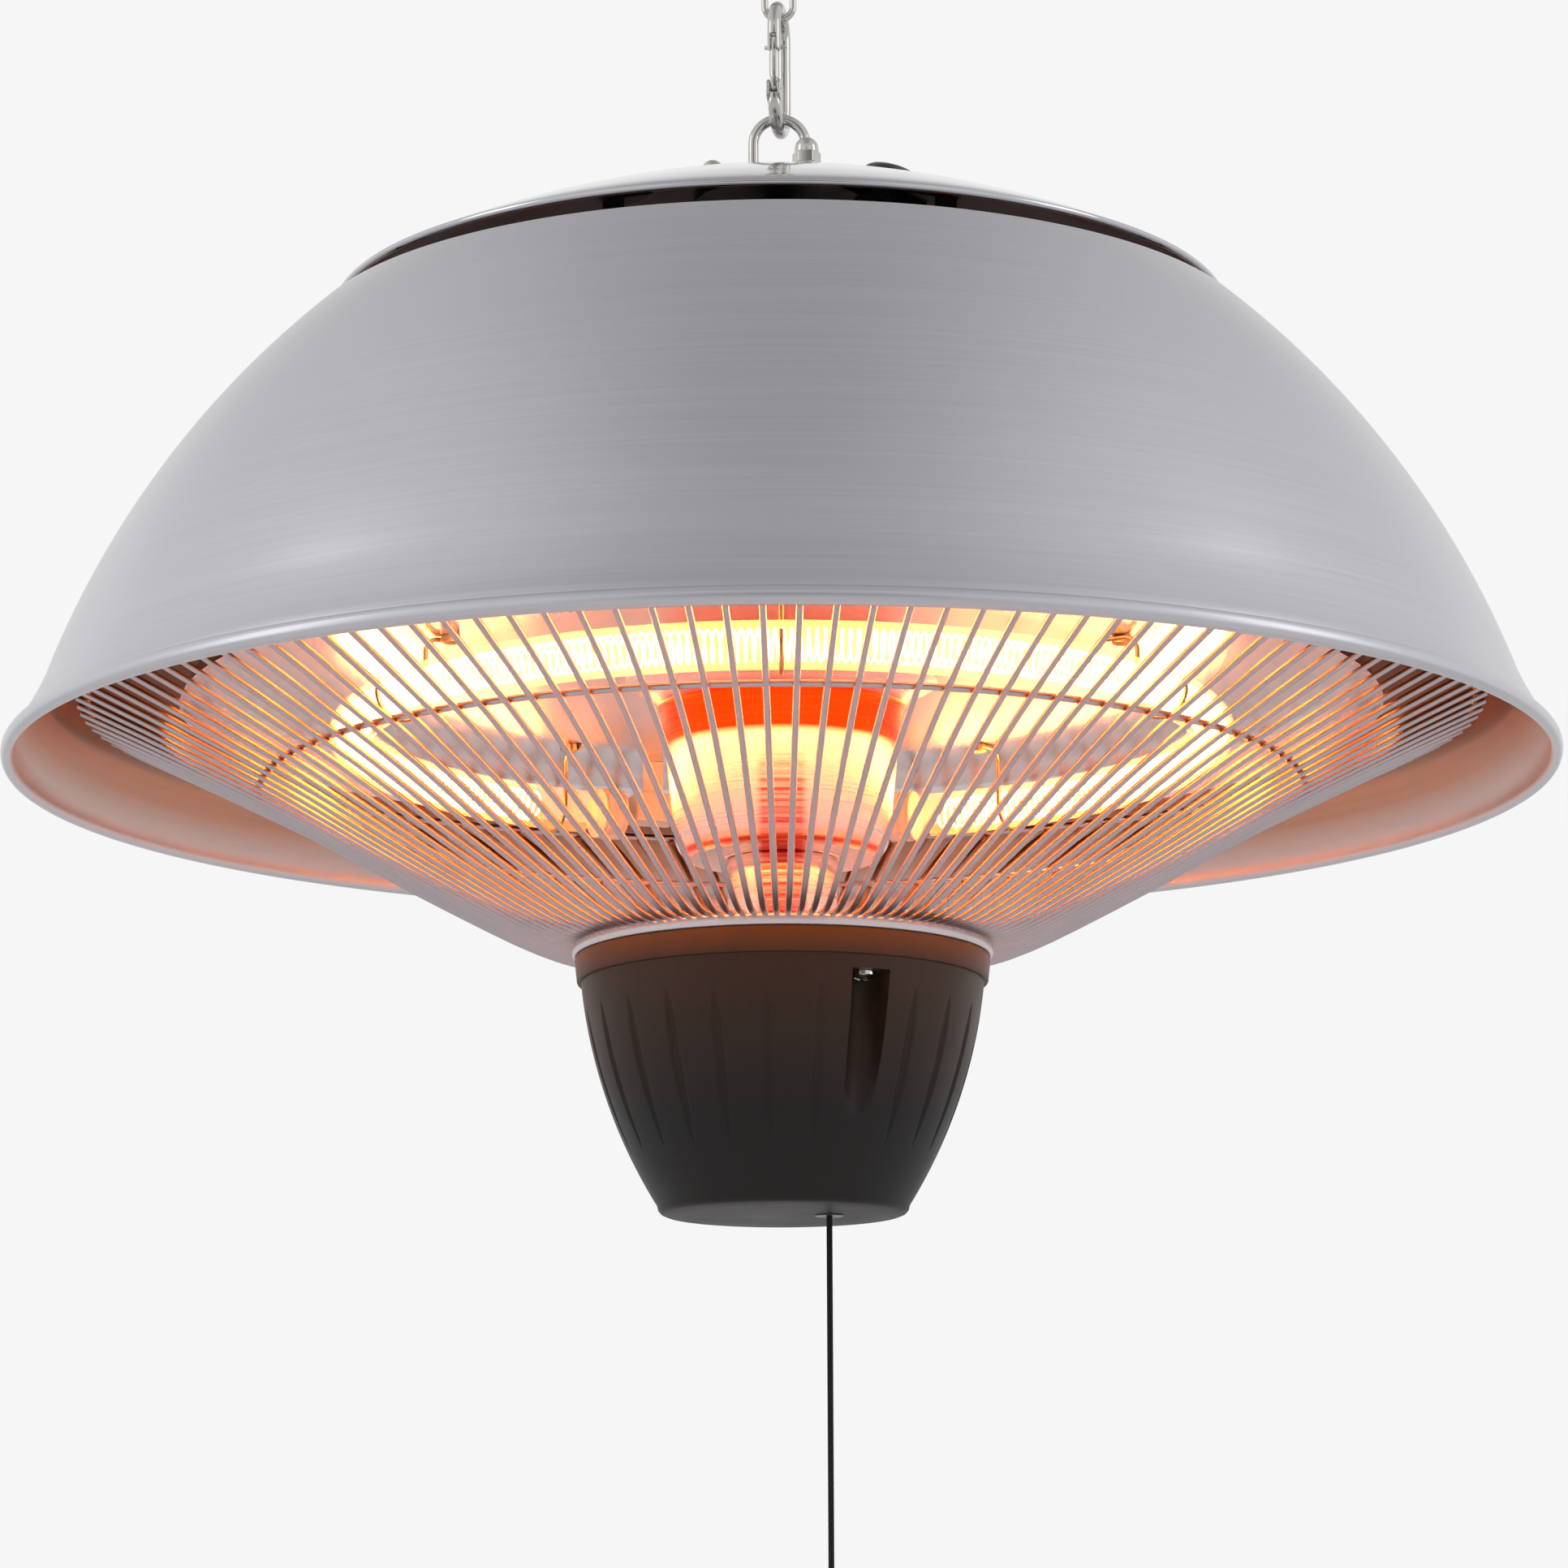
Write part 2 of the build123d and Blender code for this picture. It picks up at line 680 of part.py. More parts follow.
with BuildPart() as lamp_end_caps:
    add(lamp_run(lamp_cap_radius, 8, lamp_start - lamp_cap_sweep - end_gap, lamp_cap_sweep))
    add(lamp_run(lamp_cap_radius, 8, lamp_start + lamp_sweep + end_gap, lamp_cap_sweep))
lamp_end_caps.part.label = "lamp_end_caps"
export_step(lamp_end_caps.part, "parts/lamp_end_caps.step")

with BuildPart() as lamp_connector:
    with BuildSketch(level(connector_foot_h)):
        with PolarLocations(lamp_ring_radius, 1, connector_azimuth):
            Rectangle(connector_depth, connector_width)
    extrude(amount=connector_height)
    with BuildSketch(level(connector_foot_h + connector_height)):
        with PolarLocations(lamp_ring_radius, 1, connector_azimuth):
            Rectangle(connector_stem, connector_stem)
    extrude(amount=pan_h - seat - connector_foot_h - connector_height)
lamp_connector.part.label = "lamp_connector"
export_step(lamp_connector.part, "parts/lamp_connector.step")

clip_reach = lamp_radius + clip_gap + clip_sheet

with BuildPart() as lamp_clips:
    for azimuth in clip_azimuths:
        with BuildSketch(radial(azimuth)):
            with BuildLine():
                Polyline(
                    (lamp_ring_radius - clip_reach - clip_foot, pan_h - seat - clip_sheet),
                    (lamp_ring_radius - clip_reach, pan_h - seat - clip_sheet),
                    (lamp_ring_radius - clip_reach, lamp_h - clip_reach * 0.45),
                    (lamp_ring_radius - clip_reach * 0.45, lamp_h - clip_reach),
                    (lamp_ring_radius + clip_reach * 0.45, lamp_h - clip_reach),
                    (lamp_ring_radius + clip_reach, lamp_h - clip_reach * 0.45),
                    (lamp_ring_radius + clip_reach, lamp_h + clip_reach * 0.4),
                )
                offset(amount=clip_sheet, side=Side.LEFT, kind=Kind.INTERSECTION)
            make_face()
        extrude(amount=clip_width / 2, both=True)
lamp_clips.part.label = "lamp_clips"
export_step(lamp_clips.part, "parts/lamp_clips.step")

# Guard

wire_half = wire_size / 2
weld_h = plate_top_h + seat + wire_half
guard_outer_radius = rim_radius - rim_width - guard_rim_gap
guard_tip_radius = guard_outer_radius + guard_tip
guard_line = [
    (guard_weld_radius, weld_h),
    (guard_foot_radius, weld_h),
    (guard_bend_radius, guard_bend_h),
    (guard_tip_radius, guard_tip_h),
]

with BuildPart() as guard_wire:
    with BuildSketch(section):
        with BuildLine():
            Polyline(*[(r, h - wire_half) for r, h in guard_line])
            offset(amount=wire_size, side=Side.LEFT, kind=Kind.INTERSECTION)
        make_face()
    extrude(amount=wire_half, both=True)

with BuildPart() as guard_wires:
    with PolarLocations(0, wire_count, 0.5 * 360 / wire_count):
        add(guard_wire.part)
guard_wires.part.label = "guard_wires"
export_step(guard_wires.part, "parts/guard_wires.step")


def wire_top_h(radius):
    """Height of the guard wires' upper side at a distance from the axis."""
    for (r1, h1), (r2, h2) in zip(guard_line, guard_line[1:]):
        if radius <= r2:
            return h1 + (h2 - h1) * (radius - r1) / (r2 - r1) + wire_half * 1.12
    return guard_tip_h


with BuildPart() as guard_outer_hoop:
    with BuildSketch(level(wire_top_h(guard_outer_radius + ring_size / 2) + seat)):
        RegularPolygon(guard_outer_radius + ring_size / 2, shell_facets)
        RegularPolygon(guard_outer_radius - ring_size / 2, shell_facets, mode=Mode.SUBTRACT)
    extrude(amount=ring_size)
guard_outer_hoop.part.label = "guard_outer_hoop"
export_step(guard_outer_hoop.part, "parts/guard_outer_hoop.step")

with BuildPart() as guard_mid_hoop:
    with BuildSketch(level(wire_top_h(guard_mid_radius + ring_size / 2) + seat)):
        RegularPolygon(guard_mid_radius + ring_size / 2, shell_facets)
        RegularPolygon(guard_mid_radius - ring_size / 2, shell_facets, mode=Mode.SUBTRACT)
    extrude(amount=ring_size)
guard_mid_hoop.part.label = "guard_mid_hoop"
export_step(guard_mid_hoop.part, "parts/guard_mid_hoop.step")

housing_turn = channel_azimuth - 180 / housing_facets  # puts the channels in the middle of facets

with BuildPart() as guard_plate:
    with BuildSketch(level(plate_top_h)):
        RegularPolygon(plate_radius, housing_facets, rotation=housing_turn)
        RegularPolygon(hole, 12, major_radius=False, mode=Mode.SUBTRACT)
    extrude(amount=-plate_sheet)
guard_plate.part.label = "guard_plate"
export_step(guard_plate.part, "parts/guard_plate.step")

# Housing band: a shallow lid, open below

band_foot_h = band_top_h - band_height
channel_azimuths = (channel_azimuth, channel_azimuth + 120, channel_azimuth + 240)
cup_top_h = band_foot_h - seat

with BuildPart() as housing_band:
    band_outline = [
        (hole, band_top_h),
        (band_top_radius, band_top_h),
        (band_foot_radius, band_foot_h),
        (band_foot_radius - band_wall, band_foot_h),
        (band_foot_radius - band_wall, floor_h),
        (hole, floor_h),
    ]
    add(turned(band_outline, housing_facets, housing_turn))
    with BuildSketch(level(floor_h)):
        with PolarLocations(channel_circle_radius, 3, channel_azimuth):
            Rectangle(2 * channel_radius, 2 * channel_radius)
    extrude(amount=band_foot_h - floor_h)
    with BuildSketch(level(band_foot_h)):
        with PolarLocations(channel_circle_radius, 3, channel_azimuth):
            RegularPolygon(housing_screw_radius, 12)
    extrude(amount=0.6 * (floor_h - band_foot_h), mode=Mode.SUBTRACT)
housing_band.part.label = "housing_band"
export_step(housing_band.part, "parts/housing_band.step")

# Cup: bulging outside, screw channels sunk in its side, pointed flutes between them

cup_arc = ((cup_top_radius, cup_top_h), (cup_mid_radius, cup_mid_h), (cup_foot_radius, cup_foot_h))
cup_base_in_h = cup_base_h + cup_wall


def cup_outside(h):
    """Radius of the cup's bulging side at a height."""
    arc = ThreePointArc(*cup_arc)
    return arc.arc_center.X + sqrt(arc.radius**2 - (h - arc.arc_center.Y) ** 2)


flute_azimuths = [channel_azimuth + 360 * i / flute_count for i in range(flute_count) if 3 * i % flute_count]

flute_hs = (flute_foot_h, (flute_foot_h + flute_top_h) / 2, flute_top_h)
flute_spots = [(cup_outside(h) * cos(radians(180 / housing_facets)), h) for h in flute_hs]

with BuildPart() as flute_tool:
    for low_spot, high_spot in zip(flute_spots, flute_spots[1:]):
        flute_foot = Vector(*section.from_local_coords(low_spot))
        flute_run = Vector(*section.from_local_coords(high_spot)) - flute_foot
        with BuildSketch(Plane(flute_foot, x_dir=(0, 1, 0), z_dir=flute_run)):
            with BuildLine():
                flute_side = flute_width / 2
                Polyline((-flute_side, 0), (0, -flute_depth), (flute_side, 0), (0, flute_depth), close=True)
            make_face()
        extrude(amount=flute_run.length + flute_depth / 3)

with BuildPart() as lower_housing:
    inside = arc_points(*cup_arc, cup_creases - 1, inset=cup_wall)
    cup_core = cup_base_radius / 2
    cup_outline = [
        (cup_core, cup_base_h),
        (cup_base_radius, cup_base_h),
        *reversed(arc_points(*cup_arc, cup_creases)),
        (cup_top_radius - cup_wall, cup_top_h),
        *inside[1:-1],
        (cup_foot_radius - cup_wall, cup_base_in_h),
        (cup_core, cup_base_in_h),
    ]
    add(turned(cup_outline, housing_facets, housing_turn))
    with BuildSketch(level(cup_base_h)):
        RegularPolygon(cup_core, housing_facets, rotation=housing_turn)
    extrude(amount=cup_wall)
    for azimuth in channel_azimuths:
        with BuildSketch(level(cup_top_h)):
            with PolarLocations(channel_circle_radius - channel_wall, 1, azimuth):
                Rectangle(2 * channel_radius, 2 * (channel_radius + channel_wall))
        extrude(amount=channel_foot_h - cup_top_h)
    around = [
        *reversed(arc_points(*cup_arc, cup_creases)),
        (2 * cup_top_radius, cup_top_h),
        (2 * cup_top_radius, cup_base_h),
        (cup_base_radius, cup_base_h),
    ]
    add(turned(around, housing_facets, housing_turn), mode=Mode.SUBTRACT)
    with BuildSketch(level(channel_top_h)):
        with PolarLocations(channel_circle_radius, 3, channel_azimuth):
            RegularPolygon(channel_radius, 16)
    extrude(amount=cup_base_h - channel_top_h, mode=Mode.SUBTRACT)
    with BuildSketch(level(cup_top_h)):
        with PolarLocations(channel_circle_radius, 3, channel_azimuth):
            RegularPolygon(housing_screw_radius + screw_fit, 12)
    extrude(amount=channel_top_h - cup_top_h, mode=Mode.SUBTRACT)
    with Locations(*[Location((0, 0, 0), (0, 0, 1), azimuth) for azimuth in flute_azimuths]):
        add(flute_tool.part, mode=Mode.SUBTRACT)
    with BuildSketch(level(cup_base_h)):
        with Locations((pull_x, pull_y)):
            RegularPolygon(grommet_radius + grommet_fit / 5, 16)
    extrude(amount=cup_wall, mode=Mode.SUBTRACT)
lower_housing.part.label = "lower_housing"
export_step(lower_housing.part, "parts/lower_housing.step")

with BuildPart() as housing_screws:
    with BuildSketch(level(channel_top_h - seat)):
        with PolarLocations(channel_circle_radius, 3, channel_azimuth):
            RegularPolygon(screw_head_radius, 10)
    extrude(amount=-screw_head_height)
    with BuildSketch(level(channel_top_h - seat)):
        with PolarLocations(channel_circle_radius, 3, channel_azimuth):
            RegularPolygon(housing_screw_radius - seat, 12)
    extrude(amount=band_foot_h + 2 - channel_top_h)
housing_screws.part.label = "housing_screws"
export_step(housing_screws.part, "parts/housing_screws.step")

# Pull switch: a block under the band with a sprung plunger, and the cord that pulls it

switch_top_h = floor_h - seat
switch_foot_h = switch_top_h - switch_height
bore_half = plunger_radius + 2 * slide_fit
plunger_foot_h = switch_foot_h - plunger_show
plunger_top_h = plunger_foot_h + plunger_length

with BuildPart() as pull_switch_body:
    with BuildSketch(level(switch_top_h)):
        with Locations((pull_x + switch_length / 2 - switch_edge, pull_y)):
            Rectangle(switch_length, switch_width)
    extrude(amount=-switch_height)
    with BuildSketch(level(switch_foot_h)):
        with Locations((pull_x, pull_y)):
            Rectangle(2 * bore_half, 2 * bore_half)
    extrude(amount=plunger_top_h - switch_foot_h + 1, mode=Mode.SUBTRACT)
pull_switch_body.part.label = "pull_switch_body"
export_step(pull_switch_body.part, "parts/pull_switch_body.step")

with BuildPart() as pull_switch_plunger:
    with BuildSketch(level(plunger_foot_h)):
        with Locations((pull_x, pull_y)):
            Rectangle(2 * plunger_radius, 2 * plunger_radius)
    extrude(amount=plunger_length)
    with BuildSketch(level(plunger_foot_h)):
        with Locations((pull_x, pull_y)):
            RegularPolygon(cord_diameter / 2 + seat, 12)
    extrude(amount=cord_socket, mode=Mode.SUBTRACT)
pull_switch_plunger.part.label = "pull_switch_plunger"
export_step(pull_switch_plunger.part, "parts/pull_switch_plunger.step")

with BuildPart() as cord_grommet:
    with BuildSketch(level(cup_base_h - seat)):
        with Locations((pull_x, pull_y)):
            RegularPolygon(grommet_flange_radius, 16)
    extrude(amount=-grommet_flange)
    with BuildSketch(level(cup_base_h - seat)):
        with Locations((pull_x, pull_y)):
            RegularPolygon(grommet_radius, 16)
    extrude(amount=cup_wall)
    with BuildSketch(level(cup_base_h + cup_wall)):
        with Locations((pull_x, pull_y)):
            RegularPolygon(cord_diameter / 2 + grommet_fit, 12)
    extrude(amount=-cup_wall - grommet_flange - 1, mode=Mode.SUBTRACT)
cord_grommet.part.label = "cord_grommet"
export_step(cord_grommet.part, "parts/cord_grommet.step")

cord_top_h = plunger_foot_h + cord_socket - seat
knob_foot_h = knob_top_h - knob_height
cord_length = cord_top_h - cord_end_h

with BuildPart() as pull_cord:
    with BuildSketch(level(cord_top_h)):
        with Locations((pull_x, pull_y)):
            Circle(cord_diameter / 2)
    extrude(amount=-cord_length)
pull_cord.part.label = "pull_cord"
export_step(pull_cord.part, "parts/pull_cord.step")
print("pull cord: one straight run of", round(cord_length, 1), "mm, diameter", cord_diameter)

with BuildPart() as pull_knob:
    with BuildSketch(level(knob_foot_h)):
        with Locations((pull_x, pull_y)):
            RegularPolygon(knob_radius, 16)
    extrude(amount=knob_height, taper=6)
    with BuildSketch(level(knob_top_h)):
        with Locations((pull_x, pull_y)):
            RegularPolygon(cord_diameter / 2 + seat, 12)
    extrude(amount=cord_end_h - seat - knob_top_h, mode=Mode.SUBTRACT)
pull_knob.part.label = "pull_knob"
export_step(pull_knob.part, "parts/pull_knob.step")

# Cable gland: its dome follows the cap, its thread goes through, and a nut holds it below

gland_a = radians(gland_azimuth)
gland_x = gland_circle_radius * cos(gland_a)
gland_y = gland_circle_radius * sin(gland_a)
gland_low_h = cap_h(gland_circle_radius + gland_radius) - 1
gland_top_h = cap_h(gland_circle_radius) + gland_height
cap_raised = [(cap_core, cap_seat_h + seat), *[(r, h + seat) for r, h in cap_profile[:3]]]

with BuildPart() as cable_gland:
    with BuildSketch(level(gland_low_h)):
        with Locations((gland_x, gland_y)):
            RegularPolygon(gland_radius, 24)
    extrude(amount=gland_top_h - gland_low_h - gland_crown)
    with BuildSketch(level(gland_top_h - gland_crown)):
        with Locations((gland_x, gland_y)):
            RegularPolygon(gland_radius, 24)
    extrude(amount=gland_crown, taper=40)
    below = [*cap_raised, (cap_slope_radius, gland_foot_h), (cap_core, gland_foot_h)]
    add(turned(below, shell_facets), mode=Mode.SUBTRACT)
    with BuildSketch(level(gland_top_h - gland_crown)):
        with Locations((gland_x, gland_y)):
            RegularPolygon(gland_thread_radius, 24)
    extrude(amount=gland_foot_h - gland_top_h + gland_crown)
    with BuildSketch(level(gland_top_h)):
        with Locations((gland_x, gland_y)):
            Circle(gland_bore)
    extrude(amount=gland_foot_h - gland_top_h, mode=Mode.SUBTRACT)
cable_gland.part.label = "cable_gland"
export_step(cable_gland.part, "parts/cable_gland.step")

gland_nut_h = cap_h(gland_circle_radius + gland_nut_flats / 2) - cap_depth - seat - 0.5

with BuildPart() as gland_nut:
    with BuildSketch(level(gland_nut_h)):
        with Locations((gland_x, gland_y)):
            RegularPolygon(gland_nut_flats / 2, 6, major_radius=False, rotation=gland_azimuth)
            RegularPolygon(gland_thread_radius + seat, 24, mode=Mode.SUBTRACT)
    extrude(amount=-gland_nut_height)
gland_nut.part.label = "gland_nut"
export_step(gland_nut.part, "parts/gland_nut.step")

# Terminal block: hangs from the clamp disc by its neck

clamp_foot_h = clamp_top_h - clamp_disc_sheet

with BuildPart() as terminal_block:
    with BuildSketch(level(block_top_h)):
        Rectangle(block_width, block_depth)
    extrude(amount=-block_height)
    with BuildSketch(level(block_top_h)):
        Rectangle(block_neck, block_neck * 1.5)
    extrude(amount=clamp_foot_h - seat - block_top_h)
terminal_block.part.label = "terminal_block"
export_step(terminal_block.part, "parts/terminal_block.step")
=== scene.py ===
from functools import partial
from math import cos, pi, radians, sin

import bpy
import numpy as np
from mathutils import Matrix, Vector


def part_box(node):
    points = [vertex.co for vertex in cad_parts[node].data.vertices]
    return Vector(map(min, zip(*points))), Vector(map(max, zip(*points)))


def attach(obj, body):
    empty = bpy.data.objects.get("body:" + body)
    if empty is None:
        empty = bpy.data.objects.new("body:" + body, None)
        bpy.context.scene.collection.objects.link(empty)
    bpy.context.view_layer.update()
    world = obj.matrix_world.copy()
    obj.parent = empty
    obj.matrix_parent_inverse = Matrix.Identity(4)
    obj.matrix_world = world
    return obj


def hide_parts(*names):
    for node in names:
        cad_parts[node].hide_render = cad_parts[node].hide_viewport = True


bl_info = {
    "name": "Hanging infrared heater",
    "version": (1, 0, 0),
    "blender": (4, 5, 0),
    "location": "3D View > Sidebar > Heater",
    "description": "Fine shapes and finishes of a hanging infrared heater, around its packed CAD frame",
    "category": "Add Mesh",
}

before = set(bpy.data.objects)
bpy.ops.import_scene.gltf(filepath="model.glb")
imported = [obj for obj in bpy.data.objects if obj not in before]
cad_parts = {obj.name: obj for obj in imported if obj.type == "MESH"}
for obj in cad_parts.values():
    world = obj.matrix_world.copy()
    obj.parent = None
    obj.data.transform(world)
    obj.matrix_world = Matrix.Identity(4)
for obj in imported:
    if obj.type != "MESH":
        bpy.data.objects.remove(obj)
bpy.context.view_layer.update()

# Shapes are written in millimetres, with heights above the plane of the shade's rim.
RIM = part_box("shade")[0].z * 1000 + 0.3
AXES = ((1, 0, 0), (0, 1, 0), (0, 0, 1))
UP = np.array((0, 0, 1.0))


# Sizes and colours that a user may change


def linear(code):
    """Linear colour from an sRGB hex value."""
    c = np.array([int(code[i : i + 2], 16) for i in (0, 2, 4)]) / 255
    c = np.where(c <= 0.04045, c / 12.92, ((c + 0.055) / 1.055) ** 2.4)
    return (*c.tolist(), 1.0)


def toned(colour, factor):
    """A linear colour made lighter or darker by a factor."""
    return (*[min(1.0, c * factor) for c in colour[:3]], 1.0)


def colour(name, description, code):
    """Colour property from an sRGB hex value."""
    return bpy.props.FloatVectorProperty(
        name=name, description=description, default=linear(code)[:3], min=0.0, max=1.0, subtype="COLOR"
    )


def length(name, description, millimetres):
    """Length property, in metres with a unit, from millimetres."""
    return bpy.props.FloatProperty(
        name=name,
        description=description,
        default=millimetres / 1000,
        min=0.0,
        unit="LENGTH",
        subtype="DISTANCE",
        precision=5,
    )


class HeaterSizes(bpy.types.PropertyGroup):
    """Fine sizes of the heater's pieces."""

    guard_wire: length("Guard wire", "Thickness of the guard's wires", 1.8)
    guard_hoop: length("Guard hoop", "Thickness of the guard's two hoops", 1.9)
    coil_wire: length("Coil wire", "Thickness of the glowing coil's wire", 0.75)
    coil_width: length("Coil width", "Width across the glowing coil", 9.2)
    flute_width: length("Flute width", "Width of the cup's flutes", 3.4)
    flute_depth: length("Flute depth", "Depth of the cup's flutes", 0.85)
    clip_wire: length("Clip wire", "Thickness of the wire clips that carry the lamp", 1.3)
    coil_turns: bpy.props.IntProperty(
        name="Coil turns", description="Turns of the coil round the ring", default=290, min=20, max=400
    )


class HeaterColours(bpy.types.PropertyGroup):
    """Colours of the heater's finishes."""

    shade: colour("Shade", "Satin lacquer on spun aluminium", "C4C3C9")
    cap: colour("Cap", "Polished spun aluminium", "C2C1C6")
    reflector: colour("Reflector", "Bright rolled aluminium", "E8E1E1")
    plating: colour("Plating", "Nickel plate on wire and fittings", "C9C6C1")
    housing: colour("Housing", "Black moulded plastic", "181818")
    cord: colour("Cord", "Braided cord", "0F0F0F")
    ceramic: colour("Ceramic", "Steatite of the lamp's ends", "E2D9CC")
    glow: colour("Glow", "Light of the hot coil", "FF9850")
    backdrop: colour("Backdrop", "Studio's light and background", "F6F6F6")


# Meshes from arrays. A part is its points and a list of arrays of faces.


def shell(grid, joined=False):
    """Closed shells from an array (shells, rows, columns, 3). The columns go round each row and meet, the
    rows follow each other, and the first and last row are closed by a fan round their middle, or meet if
    joined. The faces are turned outwards by the sign of the volume that they enclose, the sum of a . (b x c)
    over their triangles as seen from the middle."""
    grid = np.asarray(grid, float)
    if grid.ndim == 3:
        grid = grid[None]
    shells, rows, columns = grid.shape[:3]
    i, j = np.meshgrid(np.arange(rows if joined else rows - 1), np.arange(columns), indexing="ij")
    after, beside = (i + 1) % rows, (j + 1) % columns
    this, following = i * columns, after * columns
    quads = np.stack([this + j, this + beside, following + beside, following + j], -1)
    one = [quads.reshape(-1, 4)]
    points = grid.reshape(shells, -1, 3)
    if not joined:
        middles = grid[:, [0, -1]].mean(2)
        points = np.concatenate([points, middles], 1)
        a = np.arange(columns)
        b = (a + 1) % columns
        last = (rows - 1) * columns
        first_fan = np.stack([b, a, np.full(columns, rows * columns)], -1)
        last_fan = np.stack([last + a, last + b, np.full(columns, rows * columns + 1)], -1)
        one.append(np.concatenate([first_fan, last_fan]))
    steps = np.arange(shells)[:, None, None] * points.shape[1]
    points, faces = points.reshape(-1, 3), [(f[None] + steps).reshape(-1, f.shape[1]) for f in one]
    centre = points.mean(0)
    volume = 0.0
    for f in faces:
        for k in range(1, f.shape[1] - 1):
            a, b, c = (points[f[:, n]] - centre for n in (0, k, k + 1))
            volume += np.einsum("ij,ij->", a, np.cross(b, c))
    return (points, faces) if volume > 0 else (points, [f[:, ::-1] for f in faces])


def merged(*parts):
    """Several parts as one."""
    points, faces, start = [], [], 0
    for p, f in parts:
        points.append(p)
        faces += [x + start for x in f]
        start += len(p)
    return np.concatenate(points), faces


def lathe(outline, segments, joined=False, centre=(0.0, 0.0)):
    """Body of revolution: every point (r, h) of the outline goes to (x + r cos a, y + r sin a, h) for each
    azimuth a. A joined outline is a ring's closed section, any other runs from near the axis back to near
    the axis."""
    outline = np.asarray(outline, float)
    a = np.linspace(0, 2 * pi, segments, endpoint=False)
    r, h = outline[:, :1], outline[:, 1:]
    return shell(np.stack([centre[0] + r * np.cos(a), centre[1] + r * np.sin(a), h + 0 * a], -1), joined)


def through(points, steps):
    """Smooth line through points: between two of them, a cubic whose slope at each end is half the way from
    the point before to the point after."""
    p = np.asarray(points, float)
    q = np.concatenate([[2 * p[0] - p[1]], p, [2 * p[-1] - p[-2]]])
    before, a, b, after = (x[:, None] for x in (q[:-3], q[1:-2], q[2:-1], q[3:]))
    t = np.linspace(0, 1, steps, endpoint=False)[None, :, None]
    ma, mb = (b - before) / 2, (after - a) / 2
    line = (2 * t**3 - 3 * t**2 + 1) * a + (t**3 - 2 * t**2 + t) * ma
    line = line + (3 * t**2 - 2 * t**3) * b + (t**3 - t**2) * mb
    return np.concatenate([line.reshape(-1, p.shape[1]), p[-1:]])


def rounded(corners, radius, steps):
    """Closed outline with each corner cut by a parabola that starts and ends a radius away from it."""
    p = np.asarray(corners, float)
    radius = np.broadcast_to(np.asarray(radius, float), len(p))[:, None]
    ends = []
    for turn in (1, -1):
        to_next = np.roll(p, turn, 0) - p
        size = np.linalg.norm(to_next, axis=1, keepdims=True)
        ends.append((p + to_next / size * np.minimum(radius, 0.49 * size))[:, None])
    t = np.linspace(0, 1, steps)[None, :, None]
    bent = (1 - t) ** 2 * ends[0] + 2 * t * (1 - t) * p[:, None] + t**2 * ends[1]
    return bent.reshape(-1, p.shape[1])


def arc(centre, radius, start, end, steps):
    """Points (x, y) on a circle between two angles in degrees."""
    a = np.radians(np.linspace(start, end, steps))
    return np.stack([centre[0] + radius * np.cos(a), centre[1] + radius * np.sin(a)], -1)


def wire(path, radius, sides, normal, joined=False):
    """Round wire along a flat path: each point gets a circle across the path, spanned by the plane's normal
    and by the path's direction crossed with it."""
    path = np.asarray(path, float)
    if joined:
        ahead = np.roll(path, -1, -2) - np.roll(path, 1, -2)
    else:
        ahead = np.gradient(path, axis=-2)
    ahead = ahead / np.linalg.norm(ahead, axis=-1, keepdims=True)
    normal = np.broadcast_to(np.asarray(normal, float), path.shape)
    side = np.cross(ahead, normal)
    a = np.linspace(0, 2 * pi, sides, endpoint=False)[:, None]
    radius = np.broadcast_to(np.asarray(radius, float), path.shape[:-1])[..., None, None]
    across = np.cos(a) * side[..., None, :] + np.sin(a) * normal[..., None, :]
    return shell(path[..., None, :] + radius * across, joined)


def slab(outline, frame_at, low, high, edge):
    """Flat piece with a softened edge: the outline (x, y) stands at four levels between low and high, drawn
    in by the edge at the first and the last. frame_at is (origin, x direction, y direction, normal)."""
    outline = np.asarray(outline, float)
    middle = (outline.max(0) + outline.min(0)) / 2
    away = outline - middle
    drawn = middle + away * (1 - edge / np.maximum(np.linalg.norm(away, axis=1, keepdims=True), 1e-6))
    levels = [(drawn, low), (outline, low + edge), (outline, high - edge), (drawn, high)]
    origin, x_dir, y_dir, normal = (np.asarray(v, float) for v in frame_at)
    return shell(np.stack([origin + o[:, :1] * x_dir + o[:, 1:] * y_dir + z * normal for o, z in levels]))


def turned_copies(part, azimuths):
    """Copies of a part turned about the heater's axis by azimuths in degrees."""
    points, faces = part
    copies = []
    for a in azimuths:
        c, s = cos(radians(a)), sin(radians(a))
        copies.append((points @ np.array([[c, s, 0], [-s, c, 0], [0, 0, 1.0]]), faces))
    return merged(*copies)


# Materials


def feed(tree, node, inputs):
    """Gives a node's inputs values or links, by their names or numbers, or in their order if a list."""
    for key, value in inputs.items() if isinstance(inputs, dict) else enumerate(inputs):
        if isinstance(value, bpy.types.NodeSocket):
            tree.links.new(value, node.inputs[key])
        else:
            node.inputs[key].default_value = value


def add(tree, kind, inputs=(), out=0, **settings):
    """Adds a node with its settings and links, and gives one of its outputs."""
    node = tree.nodes.new("ShaderNode" + kind)
    for key, value in settings.items():
        setattr(node, key, value)
    feed(tree, node, inputs)
    return node.outputs[out]


MADE = {}


